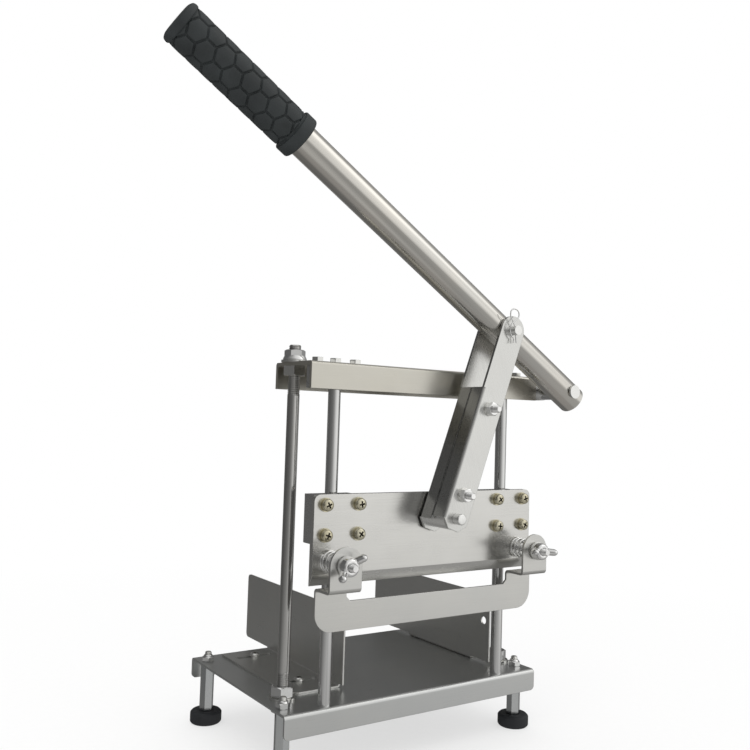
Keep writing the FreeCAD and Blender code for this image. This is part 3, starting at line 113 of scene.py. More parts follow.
def make_camera():
    data = bpy.data.cameras.new("camera")
    cam = bpy.data.objects.new("camera", data)
    bpy.context.scene.collection.objects.link(cam)
    turn = Matrix(basis(HEADING, PITCH, ROLL)).transposed().to_4x4()
    cam.matrix_world = Matrix.Translation(CAMERA_PLACE) @ turn
    data.sensor_width = SENSOR
    data.lens = FOCAL_PIXELS / PHOTO_PIXELS * SENSOR
    data.clip_start = 0.01
    data.clip_end = 50
    bpy.context.scene.camera = cam


make_camera()


# Node helpers
class Nodes:
    """Short calls that build a node tree; an input is a value or another node's output."""

    def __init__(self, tree):
        self.nodes, self.links = tree.nodes, tree.links

    def feed(self, socket, value):
        if isinstance(value, bpy.types.NodeSocket):
            self.links.new(value, socket)
        else:
            socket.default_value = value

    def add(self, kind, inputs=None, **settings):
        node = self.nodes.new(kind)
        for key, value in settings.items():
            setattr(node, key, value)
        for key, value in (inputs or {}).items():
            self.feed(node.inputs[key], value)
        return node

    def calc(self, operation, *values):
        return self.add("ShaderNodeMath", dict(enumerate(values)), operation=operation).outputs[0]

    def mix(self, factor, first, second):
        return self.add("ShaderNodeMix", {0: factor, 6: first, 7: second}, data_type="RGBA").outputs[2]


class Graph(Nodes):
    """The nodes of a new material, with the piece's own coordinates."""

    def __init__(self, name):
        self.material = bpy.data.materials.new(name)
        self.material.use_nodes = True
        super().__init__(self.material.node_tree)
        self.shader = self.nodes["Principled BSDF"]
        self.coords = self.add("ShaderNodeTexCoord").outputs["Object"]

    def mapped(self, turn, size):
        inputs = {"Vector": self.coords, "Rotation": turn, "Scale": size}
        return self.add("ShaderNodeMapping", inputs, vector_type="TEXTURE").outputs[0]

    def noise(self, vector, scale=1.0, detail=3.0, rough=0.55):
        inputs = {"Vector": vector, "Scale": scale, "Detail": detail, "Roughness": rough}
        return self.add("ShaderNodeTexNoise", inputs).outputs["Fac"]

    def span(self, value, low, high, out_low=0.0, out_high=1.0):
        inputs = {"Value": value, "From Min": low, "From Max": high, "To Min": out_low, "To Max": out_high}
        return self.add("ShaderNodeMapRange", inputs).outputs[0]

    def bump(self, height, depth, strength=1.0, under=None):
        inputs = {"Height": height, "Distance": depth, "Strength": strength}
        if under:
            inputs["Normal"] = under
        return self.add("ShaderNodeBump", inputs).outputs[0]

    def wire(self, **outputs):
        for key, value in outputs.items():
            self.feed(self.shader.inputs[key.replace("_", " ")], value)
        return self.material


def solid(colour, factor=1.0):
    return (*[c * factor for c in colour], 1)


def metal(
    name, colour, tint, rough, turn=ALONG_X, grain=(60, 0.35, 0.35),
    spread=0.06, depth=0.0015, edge=0.0, shade=None,
):
    """Brushed or drawn metal: fine lines along one direction, slow drifts of tone, light smudges.

    The lines' size and depth and the rounding of the edges are in millimetres.
    """
    g = Graph(name)
    lines = g.noise(g.mapped(turn, [v * MM for v in grain]), detail=4.0)
    drift = g.noise(g.coords, scale=18.0, detail=2.0)
    smudge = g.noise(g.coords, scale=55.0, detail=4.0, rough=0.6)
    base = g.mix(g.span(drift, 0.3, 0.7), solid(colour), solid(tint))
    base = g.mix(g.span(lines, 0.3, 0.7, 0.0, 0.30), base, solid(colour, 0.88))
    if shade:
        base = shade(g, base, colour)
    roughness = g.span(lines, 0.3, 0.7, rough - spread * 0.5, rough + spread * 0.5)
    roughness = g.calc("ADD", roughness, g.span(smudge, 0.45, 0.75, 0.0, spread * 0.6))
    under = g.add("ShaderNodeBevel", {"Radius": edge * MM}, samples=4).outputs[0] if edge else None
    normal = g.bump(lines, depth * MM, under=under)
    return g.wire(Base_Color=base, Metallic=1.0, Roughness=roughness, Normal=normal)


def painted_lip_shade(g, base, colour):
    """Painted shade: the link's lip faces that look to the left take a darker copy of the colour, and a
    painted dark line stands for the shade where the two sheets meet.
    """
    place = g.add("ShaderNodeNewGeometry")
    side = (-math.cos(LINK_TILT), 0.0, math.sin(LINK_TILT))
    inputs = {0: place.outputs["Normal"], 1: side}
    facing = g.add("ShaderNodeVectorMath", inputs, operation="DOT_PRODUCT").outputs["Value"]
    # painted shade: faces that look to the left get a darker copy of the colour
    lip_shade_mask = g.span(facing, 0.35, 0.8)
    base = g.mix(lip_shade_mask, base, solid(colour, 0.62))
    y = g.add("ShaderNodeSeparateXYZ", {0: place.outputs["Position"]}).outputs[1]
    off = g.calc("ABSOLUTE", g.calc("SUBTRACT", y, LINK_SEAM_Y * MM))
    # painted shade: a dark line along the join of the two sheets, on the left lip faces only
    seam_shade_mask = g.calc("MULTIPLY", g.span(off, 0.7 * MM, 1.1 * MM, 1.0, 0.0), lip_shade_mask)
    return g.mix(seam_shade_mask, base, (0.02, 0.02, 0.02, 1))


def rubber(name, colour, rough):
    g = Graph(name)
    grain = g.noise(g.coords, scale=2600.0, detail=2.0)
    patch = g.noise(g.coords, scale=60.0, detail=3.0)
    base = g.mix(g.span(patch, 0.35, 0.7), solid(colour), solid(colour, 1.45))
    roughness = g.span(patch, 0.3, 0.7, rough - 0.06, rough + 0.08)
    normal = g.bump(grain, 0.03 * MM, 0.6)
    return g.wire(Base_Color=base, Roughness=roughness, Normal=normal, Specular_IOR_Level=0.35)


STEEL = (0.66, 0.66, 0.645)
STEEL_WARM = (0.70, 0.695, 0.67)
DRAWN = (30, 1.2, 1.2)
PLATED = (3, 2, 2)
SHEET = metal("brushed_sheet", STEEL, STEEL_WARM, 0.30, edge=0.5)
SHEET_Y = metal("brushed_sheet_y", STEEL, STEEL_WARM, 0.30, ALONG_Y, edge=0.5)
BASE = metal("tray_sheet", (0.62, 0.63, 0.63), (0.66, 0.665, 0.655), 0.30, edge=0.6)
BEAM = metal("beam_sheet", (0.625, 0.605, 0.545), (0.655, 0.64, 0.59), 0.30, edge=0.5)
BLADE = metal("ground_plate", (0.70, 0.695, 0.675), (0.73, 0.725, 0.705), 0.24, edge=0.5)
# the link sheet carries painted shade on its left lip faces and a painted dark line where its two sheets
# meet
LINK = metal("link_sheet", (0.70, 0.70, 0.685), (0.73, 0.73, 0.715), 0.26, ALONG_LINK, edge=0.5, shade=painted_lip_shade)
COLUMN = metal("column_steel", (0.52, 0.515, 0.505), (0.56, 0.555, 0.545), 0.13, ALONG_Z, DRAWN, depth=0.001)
ROD = metal("chromed_rod", (0.68, 0.68, 0.68), (0.71, 0.71, 0.71), 0.10, ALONG_Z, DRAWN, 0.04, 0.001)
TUBE = metal(
    "polished_tube", (0.66, 0.65, 0.62), (0.72, 0.69, 0.64), 0.14, ALONG_LEVER, (120, 0.8, 0.8), depth=0.002
)
HEX_BAR = metal(
    "hexagon_bar", (0.64, 0.66, 0.67), (0.70, 0.71, 0.71), 0.20, ALONG_Z, (30, 0.5, 0.5), edge=0.4
)
MACHINED = metal(
    "machined_steel", (0.66, 0.66, 0.66), (0.70, 0.70, 0.69), 0.28, grain=(8, 0.5, 0.5), edge=0.4
)
PIN = metal("turned_pin", (0.84, 0.84, 0.83), (0.88, 0.88, 0.87), 0.20, ALONG_Y, (6, 0.6, 0.6))
ZINC = metal(
    "zinc_plate", (0.78, 0.78, 0.765), (0.83, 0.825, 0.79), 0.15, grain=PLATED, spread=0.08, edge=0.3
)
ZINC_YELLOW = metal(
    "zinc_yellow", (0.60, 0.55, 0.40), (0.66, 0.63, 0.50), 0.20, grain=PLATED, spread=0.10, edge=0.25
)
DARK_ZINC = metal("dark_zinc", (0.40, 0.37, 0.28), (0.50, 0.47, 0.38), 0.22, grain=PLATED, edge=0.25)
# painted shade: a near-black material laid on the cross-head screws' recesses
RECESS_SHADE = metal("recess_shade", (0.10, 0.09, 0.07), (0.16, 0.15, 0.12), 0.45, grain=PLATED)
CAST = metal(
    "cast_chrome", (0.86, 0.86, 0.86), (0.90, 0.90, 0.90), 0.11, grain=(4, 4, 4), spread=0.10, depth=0.03
)
WIRE = metal("spring_wire", (0.86, 0.86, 0.86), (0.90, 0.90, 0.89), 0.10, grain=(3, 0.6, 0.6))
BRASS = metal("bush_brass", (0.62, 0.47, 0.22), (0.68, 0.52, 0.26), 0.28, grain=(4, 0.6, 0.6))
GRIP = rubber("grip_rubber", (0.0205, 0.0240, 0.0250), 0.55)
FOOT = rubber("foot_rubber", (0.014, 0.015, 0.017), 0.60)

FINISH = {
    "stainless_sheet": SHEET,
    "blade_steel": BLADE,
    "machined_steel": MACHINED,
    "polished_steel": ROD,
    "polished_tube": TUBE,
    "zinc_fasteners": ZINC,
    "spring_steel": WIRE,
    "bush_brass": BRASS,
    "foot_rubber": FOOT,
    "grip_rubber": GRIP,
}
SPECIAL = {
    "base_tray": BASE,
    "top_beam": BEAM,
    "foot_spacers": HEX_BAR,
    "link_front_plate": LINK,
    "link_rear_plate": LINK,
    "carriage_washers": ZINC_YELLOW,
    "carriage_spring_washers": DARK_ZINC,
    "fence_left": SHEET_Y,
    "fence_right": SHEET_Y,
    "lever_pivot_pin": PIN,
    "link_top_pin": PIN,
}
for part in frame["record"]["subparts"]:
    for holder in frame["nodes"][part["node"]].material_slots:
        holder.material = SPECIAL.get(part["node"], FINISH[part["material_slot"]])


# Shape helpers, all in millimetres; a shape is (points, faces)
def box_mm(node):
    """A node's lowest and highest corners at rest."""
    low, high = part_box(node)
    return [c / MM for c in low], [c / MM for c in high]


def put(name, shape, materials, body, stands_for, crease=40.0, marks=None):
    """One new piece that stands for a CAD node; marks are the faces' places in the list of materials."""
    points, faces = shape
    mesh = bpy.data.meshes.new(name)
    mesh.from_pydata([tuple(c * MM for c in point) for point in points], [], faces)
    mesh.update()
    mesh.shade_smooth()
    mesh.set_sharp_from_angle(angle=math.radians(crease))
    for material in materials:
        mesh.materials.append(material)
    if marks:
        for face in mesh.polygons:
            face.material_index = marks[face.index]
    piece = bpy.data.objects.new(name, mesh)
    bpy.context.scene.collection.objects.link(piece)
    if body:
        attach(piece, body)
    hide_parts(stands_for)
    return piece


def placed(shape, origin, axis=UP, spin=0.0):
    """The shape with its Z on the axis through the origin, turned about it by spin degrees."""
    points, faces = shape
    z, x = Vector(axis), Vector(RIGHT)
    y = z.cross(x)
    c, s = math.cos(math.radians(spin)), math.sin(math.radians(spin))
    x, y = x * c + y * s, y * c - x * s
    return [Vector(origin) + x * p[0] + y * p[1] + z * p[2] for p in points], faces


def joined(shapes):
    points, faces = [], []
    for more_points, more_faces in shapes:
        start = len(points)
        points += list(more_points)
        faces += [tuple(index + start for index in face) for face in more_faces]
    return points, faces


def rounded(corners, radius, steps=3):
    """The outline with its inner corners replaced by short curves."""
    out = [corners[0]]
    for before, corner, after in zip(corners, corners[1:], corners[2:]):
        b, c, a = (Vector((*v, 0.0)) for v in (before, corner, after))
        cut = min(radius, (b - c).length * 0.45, (a - c).length * 0.45)
        if cut < 1e-4:
            out.append(corner)
            continue
        p, q = c + (b - c).normalized() * cut, c + (a - c).normalized() * cut
        for k in range(steps + 1):
            t = k / steps
            v = p * (1 - t) ** 2 + c * 2 * t * (1 - t) + q * t * t
            out.append((v.x, v.y))
    out.append(corners[-1])
    return out


def circle(points, count, place):
    """Add count points that go round once, and give their numbers."""
    start = len(points)
    points += [place(2 * math.pi * k / count) for k in range(count)]
    return range(start, start + count)


def skin(rings, closed=False):
    """Faces between rings of point numbers; a ring of one point is a tip."""
    count = max(len(ring) for ring in rings)
    faces = []
    for low, high in zip(rings, rings[1:] + rings[:1] if closed else rings[1:]):
        for k in range(count):
            n = (k + 1) % count
            corners = (low[k % len(low)], low[n % len(low)], high[n % len(high)], high[k % len(high)])
            face = tuple(dict.fromkeys(corners))
            if len(face) > 2:
                faces.append(face)
    return faces


def lathe(profile, segments=40, closed=False):
    """Turn (radius, height) points about Z; a closed profile joins its last point to its first."""
    points, rings = [], []
    for radius, z in profile:
        count = 1 if radius < TINY else segments
        rings.append(circle(points, count, lambda a: (radius * math.cos(a), radius * math.sin(a), z)))
    return points, skin(rings, closed)


def threaded(radius, pitch, spans, segments=28, chamfer=0.8):
    """A rod on Z; spans are (low, high, threaded) from the bottom up."""
    bottom, top = spans[0][0], spans[-1][1]
    rows = []
    for low, high, cut in spans:
        levels = [low, low + 0.4, low + 1.0, high - 1.0, high - 0.4, high]
        if cut:
            count = math.ceil((high - low) / (pitch / 8))
            levels = [low + (high - low) * k / count for k in range(count + 1)]
        for z in levels:
            run_out = min(z - low if low > bottom else pitch, high - z if high < top else pitch)
            depth = 0.40 * min(pitch, run_out) if cut else 0.0
            if not rows or z - rows[-1][0] > 1e-4:
                rows.append((z, depth))
    points, rings = [(0, 0, bottom)], [[0]]
    for z, depth in rows:
        limit = radius - max(0.0, chamfer - min(z - bottom, top - z)) * 0.9
        rings.append(range(len(points), len(points) + segments))
        for k in range(segments):
            turn = (z / pitch - k / segments) % 1.0
            crest = min(1.0, (1 - abs(2 * turn - 1)) * 1.25)
            r = min(limit, radius - depth * (1 - crest))
            a = 2 * math.pi * k / segments
            points.append((r * math.cos(a), r * math.sin(a), z))
    rings.append([len(points)])
    points.append((0, 0, top))
    return points, skin(rings)


def swept(path, radius, sides):
    """A round wire along the points of a smooth path, with domed ends."""
    last = len(path) - 1
    dome = radius * 0.6
    points, rings = [path[0] + (path[0] - path[1]).normalized() * dome], [[0]]
    side = None
    for k, centre in enumerate(path):
        ahead = (path[min(k + 1, last)] - path[max(k - 1, 0)]).normalized()
        side = ahead.orthogonal() if side is None else side - ahead * side.dot(ahead)
        side.normalize()
        third = ahead.cross(side)

        def surface(a):
            return centre + (side * math.cos(a) + third * math.sin(a)) * radius

        rings.append(circle(points, sides, surface))
    rings.append([len(points)])
    points.append(path[last] + (path[last] - path[last - 1]).normalized() * dome)
    return points, skin(rings)


def smooth_path(knots, steps=10):
    """A smooth line through the knots."""
    ends = [knots[0] * 2 - knots[1], *knots, knots[-1] * 2 - knots[-2]]
    out = []
    for a, b, c, d in zip(ends, ends[1:], ends[2:], ends[3:]):
        square = a * 2 - b * 5 + c * 4 - d
        cube = b * 3 - a - c * 3 + d
        for k in range(steps):
            t = k / steps
            out.append((b * 2 + (c - a) * t + square * t * t + cube * t * t * t) * 0.5)
    out.append(knots[-1])
    return out


def hexagon(flats, height, bore, flange=None, segments=72):
    """A hexagon nut on Z with turned corners; flange is (radius, rim, cone top)."""
    turned = flats * 0.475
    corner_slope = 0.58
    sixth = math.pi / 3

    # A row is (radius, height, lean); a row without a radius follows the six flats
    rows = [(bore, 0.0, 0)]
    if flange:
        wide, rim, cone_top = flange
        rows += [(wide - 0.4, 0.0, 0), (wide, 0.4, 0), (wide, rim, 0)]
        rows += [(flats * 0.56, cone_top, 0), (None, cone_top, 0)]
    else:
        rows += [(turned, 0.0, 0), (None, 0.0, 1)]
    rows += [(None, height, -1), (turned, height, 0), (bore, height, 0)]
    points, rings = [], []
    for radius, z, lean in rows:

        def corner(a):
            r = radius or flats / 2 / math.cos((a + sixth / 2) % sixth - sixth / 2)
            return r * math.cos(a), r * math.sin(a), z + lean * (r - turned) * corner_slope

        rings.append(circle(points, segments, corner))
    return points, skin(rings, closed=True)


def ball(centre, radii, steps=10):
    """Points of an ellipsoid."""
    out = []
    for i in range(steps + 1):
        lat = math.pi * (i / steps - 0.5)
        for k in range(steps * 2):
            lon = math.pi * k / steps
            unit = (math.cos(lat) * math.cos(lon), math.cos(lat) * math.sin(lon), math.sin(lat))
            out.append(tuple(c + r * u for c, r, u in zip(centre, radii, unit)))
    return out


def hull(points):
    """The convex shape round the points."""
    bm = bmesh.new()
    for point in points:
        bm.verts.new(point)
    result = bmesh.ops.convex_hull(bm, input=bm.verts[:])
    loose = {g for g in result["geom_interior"] + result["geom_unused"] if isinstance(g, bmesh.types.BMVert)}
    bmesh.ops.delete(bm, geom=list(loose), context="VERTS")
    bm.verts.index_update()
    shape = [tuple(v.co) for v in bm.verts], [tuple(v.index for v in f.verts) for f in bm.faces]
    bm.free()
    return shape


def workpiece(shape):
    """A throwaway object of the shape."""
    mesh = bpy.data.meshes.new("work")
    mesh.from_pydata([tuple(p) for p in shape[0]], [], shape[1])
    mesh.update()
    thing = bpy.data.objects.new("work", mesh)
    bpy.context.scene.collection.objects.link(thing)
    return thing


def discard(thing):
    mesh = thing.data
    bpy.data.objects.remove(thing)
    bpy.data.meshes.remove(mesh)


def worked(shape, *steps):
    """The shape after modifiers; a step is (kind, settings)."""
    thing = workpiece(shape)
    for kind, settings in steps:
        modifier = thing.modifiers.new(kind, kind)
        for key, value in settings.items():
            setattr(modifier, key, value)
    bpy.context.view_layer.update()
    seen = thing.evaluated_get(bpy.context.evaluated_depsgraph_get())
    made = seen.to_mesh()
    out = [tuple(v.co) for v in made.vertices], [tuple(f.vertices) for f in made.polygons]
    seen.to_mesh_clear()
    discard(thing)
    return out


def cut_by(shape, cutter):
    tool = workpiece(cutter)
    out = worked(shape, ("BOOLEAN", {"operation": "DIFFERENCE", "solver": "EXACT", "object": tool}))
    discard(tool)
    return out


# Grip: a moulded sleeve with hexagon pads between a collar and a closed, rounded end
def make_grip():
    along = Vector((-math.cos(LEVER_TILT), 0.0, math.sin(LEVER_TILT)))
    start, body_radius = 330.6, 15.75
    pads_low, pads_high, pad_rows, around = 11.6, 110.6, 250, 252
    first_column, column_step, row_step = -13.0, 30.0, 24.0
    stretch = 1.19
    groove_half, groove_wall, groove_depth = 0.35, 0.75, 1.25
    crown_height, crown_reach = 0.22, 60.0
    end_fade, end_drop = 0.8, 0.5

    # The columns of pads are counted from the side that faces down and to the front
    front = Vector((-0.2687, -0.855, -0.4436))
    front = (front - along * front.dot(along)).normalized()
    side = along.cross(front)
    collar = [(12.6, 3.0), (12.6, 0.0), (17.25, 0.0), (17.25, 10.0), (14.9, 10.0), (14.9, pads_low)]
    tip = [(15.2, pads_high), (16.1, 111.4), (16.3, 113.2), (15.6, 115.4), (12.4, 117.0), (0.0, 117.0)]
    rows = [(r, s, False) for r, s in rounded(collar, 2.2, 6)]
    for k in range(1, pad_rows):
        rows.append((body_radius, pads_low + (pads_high - pads_low) * k / pad_rows, True))
    rows += [(r, s, False) for r, s in rounded(tip, 2.6, 6)]

    per_degree = body_radius * math.pi / 180
    centres = []
    for column in range(-1, 14):
        across = (first_column + column_step * column) * per_degree
        first = 19.0 if column % 2 == 0 else 31.0
        centres += [(across, (first + row_step * m) * stretch) for m in range(-1, 5)]

    def drop(angle, s):
        """How far the surface lies under the pads."""
        u, v = ((angle - first_column) % 360.0 + first_column) * per_degree, s * stretch
        near = []
        for cu, cv in centres:
            du, dv = u - cu, v - cv
            if abs(dv) < 30 and abs(du) < 18:
                near.append((du * du + dv * dv, cu, cv))
        near.sort()
        (d1, u1, v1), (d2, u2, v2) = near[0], near[1]
        gap = (d2 - d1) / (2 * math.hypot(u2 - u1, v2 - v1))
        edge = min(max((gap - groove_half) / groove_wall, 0.0), 1.0)
        rise = edge * edge * (3 - 2 * edge)
        fade = min(1.0, (s - pads_low) / end_fade, (pads_high - s) / end_fade)
        crown = crown_height * min(1.0, d1 / crown_reach)
        return (1 - rise) * groove_depth + crown + (1 - fade) * end_drop

    points, rings = [], []
    for r, s, padded in rows:
        centre = LEVER_PIVOT + along * (start + s)
        count = 1 if r < TINY else around
        rings.append(range(len(points), len(points) + count))
        for k in range(count):
            degrees = 360.0 * k / around
            a = math.radians(degrees)
            reach = r - drop(degrees, s) if padded else r
            points.append(centre + (front * math.cos(a) + side * math.sin(a)) * reach)
    put("moulded_grip", (points, skin(rings)), [GRIP], "lever", "lever_grip", crease=60)


make_grip()


# Threaded pieces
M6, M10 = (2.98, 1.0), (4.98, 1.5)


def down_the_link(down, y):
    """The place on the link's middle line, down millimetres under the top pin."""
    return TOP_PIN_X - down * math.sin(LINK_TILT), y, TOP_PIN_Z - down * math.cos(LINK_TILT)


def make_threads():
    low_thread_top, high_thread_low = 21.0, 241.0
    for _, name in SIDES:
        low, high = box_mm("column_" + name)
        x, y = (low[0] + high[0]) / 2, (low[1] + high[1]) / 2
        spans = [(low[2], low_thread_top, True), (low_thread_top, high_thread_low, False)]
        rod = threaded(*M10, spans + [(high_thread_low, high[2], True)], 32, 1.0)
        put("threaded_column_" + name, placed(rod, (x, y, 0)), [COLUMN], "frame", "column_" + name)

        node = "gauge_stud_" + name
        low, high = box_mm(node)
        x, z = (low[0] + high[0]) / 2, (low[2] + high[2]) / 2
        rod = threaded(*M6, [(0.0, 5.0, False), (5.0, high[1] - low[1], True)], 28, 0.7)
        put("threaded_stud_" + name, placed(rod, (x, high[1], z), FORWARD), [CAST], "carriage", node)

    low, high = box_mm("foot_studs")
    x, y = high[0] - 3.0, high[1] - 3.0
    rod = threaded(*M6, [(low[2], -3.0, False), (-3.0, high[2], True)], 28, 0.7)
    studs = [placed(rod, (x * i, y * j, 0)) for i in (-1, 1) for j in (-1, 1)]
    put("threaded_foot_studs", joined(studs), [ZINC], "frame", "foot_studs")

    low, high = box_mm("link_bolts")
    reach, thread = high[1] - low[1], 16.0
    outline = [(0, 0), (4.6, 0), (5.5, 0.5), (5.5, 1.2), (2.9, 1.2), (2.9, 2.0), (0, 2.0)]
    shaft = threaded(*M6, [(1.3, reach - thread, False), (reach - thread, reach, True)], 28, 0.9)
    bolt = joined([lathe(rounded(outline, 0.4)), shaft])
    bolts = [placed(bolt, down_the_link(down, high[1]), FORWARD, down) for down in LINK_BOLTS_DOWN]
    put("threaded_link_bolts", joined(bolts), [CAST], "link", "link_bolts")


make_threads()


# Foot pin: a narrow head before the link, a wide one behind the blade plate that keeps it in its slot
def make_foot_pin():
    low, high = box_mm("link_foot_pin")
    x, z = (low[0] + high[0]) / 2, (low[2] + high[2]) / 2
    reach, shaft, head, head_length = high[1] - low[1], 3.9, 4.5, 7.2
    wide = [(0, -1.8), (13.6, -1.8), (14.2, -1.2), (14.2, -0.15), (shaft, -0.15)]
    narrow = [(shaft, reach - head_length), (head, reach - head_length), (head, reach - 0.6), (shaft, reach)]
    pin = lathe(rounded(wide + narrow + [(0, reach)], 0.3), 56)
    put("headed_foot_pin", placed(pin, (x, high[1], z), FORWARD), [PIN], "link", "link_foot_pin")


make_foot_pin()


# Springs: closed end turns, open middle turns
def make_springs():
    wire, turns, closed, per_turn = 1.9, 4.5, 0.7, 44
    radius = 9.0 - wire / 2
    step = wire * 1.04
    first_turn = {"left": 2.4, "right": 0.4}
    for side, name in SIDES:
        low, high = box_mm("spring_" + name)
        x, z, rear, front = STUD_X * side, STUD_Z, high[1], low[1]
        open_pitch = (rear - front - wire - 2 * closed * step) / (turns - 2 * closed)
        path = []
        for k in range(int(turns * per_turn) + 1):
            t = k / per_turn
            rise = min(t, closed) * step + max(0.0, min(t, turns - closed) - closed) * open_pitch
            rise += max(0.0, t - (turns - closed)) * step
            a = 2 * math.pi * t + first_turn[name]
            path.append(Vector((x + radius * math.cos(a), rear - wire / 2 - rise, z + radius * math.sin(a))))
        coil = swept(path, wire / 2, 16)
        spring = put("coil_spring_" + name, coil, [WIRE], None, "spring_" + name, crease=60)
        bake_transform(spring)


make_springs()


# Retaining clip: a sprung loop above the pin, one leg through it and one around it
def make_clip():
    through = ((0.6, -10.4), (0.0, -5.0), (-0.4, 0.0), (-1.6, 4.0), (-3.4, 7.4), (-6.2, 11.6), (-5.6, 16.4))
    over = ((-2.0, 18.2), (1.8, 16.2), (2.2, 12.0), (-1.4, 8.4), (-4.8, 6.0))
    around = ((-6.6, 2.0), (-6.4, -2.0), (-4.4, -5.4), (-2.2, -7.4), (-2.8, -10.6))
    ahead = (0, 0, 0, 0, 0, 0, 0, 0.3, 0.7, 1.0, 1.2, 0.9, 0.5, 0.2, 0, 0, 0)
    knots = []
    for (dx, dz), dy in zip(through + over + around, ahead):
        knots.append(Vector((TOP_PIN_X + dx, CLIP_Y - dy, TOP_PIN_Z + dz)))
    put("sprung_clip", swept(smooth_path(knots), 0.55, 10), [WIRE], "link", "retaining_clip", crease=60)


make_clip()


# Hexagon nuts with turned corners
def make_hexagons():
    def standing(name, node, nut, places, spins):
        """The same nut at each place, standing on the node's lowest level."""
        level = box_mm(node)[0][2]
        nuts = [placed(nut, (x, y, level), spin=spin) for (x, y), spin in zip(places, spins)]
        put(name, joined(nuts), [CAST], "frame", node, crease=30)

    def height(node, axis):
        low, high = box_mm(node)
        return high[axis] - low[axis]

    nut = hexagon(15.0, height("column_nuts_top", 2), 5.0, flange=(9.6, 1.3, 3.6))
    standing("flanged_nuts", "column_nuts_top", nut, COLUMNS, (10, 41))
    nut = hexagon(17.0, height("column_nuts_base", 2), 5.0)
    standing("turned_column_nuts", "column_nuts_base", nut, COLUMNS, (24, 5))
    cap = lathe([(4.2, 4.2), (4.1, 5.0), (3.6, 5.7), (3.0, 6.0), (3.0, 4.2)], 36, closed=True)
    nut = joined([hexagon(10.0, 4.2, 3.0), cap])
    standing("turned_foot_nuts", "foot_nuts", nut, FEET, (12, 40, 25, 50))

    nut = hexagon(10.0, height("link_nuts", 1), 3.0)
    rear = box_mm("link_nuts")[1][1]
    places = zip(LINK_BOLTS_DOWN, (14, 38))
    nuts = [placed(nut, down_the_link(down, rear), FORWARD, spin) for down, spin in places]
    put("turned_link_nuts", joined(nuts), [CAST], "link", "link_nuts", crease=30)


make_hexagons()


# Wing nuts: cast hubs with two thick rounded wings
def make_wing_nuts():
    outline = [(3.05, 0.0), (7.8, 0.0), (7.8, 2.4), (6.8, 7.8), (5.6, 8.8), (3.05, 8.8), (3.05, 0.01)]
    shells = [lathe(rounded(outline, 0.9, 4), 44, closed=True)]
    for side, _ in SIDES:
        root = ball((5.2 * side, 0, 4.0), (2.6, 3.2, 3.7))
        tip = ball((11.2 * side, 0, 9.4), (3.1, 2.9, 3.9))
        shells.append(hull(root + tip))
    cast = worked(
        joined(shells),
        ("REMESH", {"mode": "VOXEL", "voxel_size": 0.28, "use_smooth_shade": True}),
        ("SMOOTH", {"factor": 0.5, "iterations": 3}),
    )
    for (side, name), spin in zip(SIDES, (39.0, -4.0)):
        node = "wing_nut_" + name
        seat = box_mm(node)[1][1]
        nut = placed(cast, (STUD_X * side, seat, STUD_Z), FORWARD, spin)
        put("cast_" + node, nut, [CAST], node, node, crease=70)


make_wing_nuts()


# Cross-head screws
def cross_head(radius, height, shank_radius, shank_length):
    """A screw with its head's underside at zero, and its faces' marks: 1 in the recess, which takes a
    painted shade.
    """
    profile = [(0, -shank_length), (shank_radius, -shank_length), (shank_radius, 0), (radius, 0)]
    profile += [(radius, height * 0.42), (radius * 0.93, height * 0.70), (radius * 0.76, height * 0.90)]
    profile += [(radius * 0.45, height * 0.99), (0, height)]
    head = lathe(profile, 44)
    arm, half = radius * 0.60, radius * 0.14
    top, bottom = height + 0.5, height - radius * 0.42
    corners = []
    for z, reach, thick in ((bottom, arm * 0.45, half * 0.75), (top, arm * 1.08, half * 1.1)):
        corners += [(-reach, -thick, z), (reach, -thick, z), (reach, thick, z), (-reach, thick, z)]
    blade = corners, [(3, 2, 1, 0), (4, 5, 6, 7), (0, 1, 5, 4), (1, 2, 6, 5), (2, 3, 7, 6), (3, 0, 4, 7)]
    for spin in (0, 90):
        head = cut_by(head, placed(blade, (0, 0, 0), spin=spin))
    points, faces = head
    marks = []
    for face in faces:
        middle = sum((Vector(points[i]) for i in face), Vector()) / len(face)
        out = math.hypot(middle.x, middle.y)
        dome = height - out * out / radius / 3.2 - 0.06
        sunk = 0 < middle.z < min(height * 0.97, dome) and out < arm * 1.02
        marks.append(1 if sunk else 0)
    return head, marks


def make_cross_screws():
    low, high = box_mm("carriage_screws")
    height = 2.8
    seat = low[1] + height
    head, marks = cross_head(4.7, height, 2.5, high[1] - seat)
    places = zip(CARRIAGE_SCREWS, (24, 71, 8, 52, 38, 83, 15, 60))
    screws = [placed(head, (x, seat, z), FORWARD, turn) for (x, z), turn in places]
    # the marked recess faces take the painted shade
    finish_and_recess_shade, marks = [ZINC_YELLOW, RECESS_SHADE], marks * len(screws)
    put("cross_screws_carriage", joined(screws), finish_and_recess_shade, "carriage", "carriage_screws", 35, marks)

    low, high = box_mm("fence_screws")
    height = 2.95
    seat = high[2] - height
    head, marks = cross_head(4.5, height, 2.5, seat - low[2])
    screws = [placed(head, (x, y, seat), spin=turn) for (x, y), turn in zip(FENCE_SCREWS, (30, 75, 12, 50))]
    finish_and_recess_shade, marks = [ZINC, RECESS_SHADE], marks * len(screws)
    put("cross_screws_fences", joined(screws), finish_and_recess_shade, "frame", "fence_screws", 35, marks)


make_cross_screws()


# Rubber feet
def make_rubber_feet():
    low, high = box_mm("rubber_feet")
    radius, bore, stud_end = 14.0, 3.1, 4.0
    x, y = high[0] - radius, high[1] - radius
    outline = [(0, 0), (12.5, 0), (radius, 1.6), (radius, 9.2), (12.2, 11.0), (6.9, 11.0), (6.6, 10.6)]
    outline += [(bore, 10.6), (bore, stud_end), (0, stud_end)]
    foot = lathe(rounded(outline, 0.5), 56)
    feet = [placed(foot, (x * i, y * j, low[2])) for i in (-1, 1) for j in (-1, 1)]
    put("moulded_feet", joined(feet), [FOOT], "frame", "rubber_feet", crease=28)


make_rubber_feet()


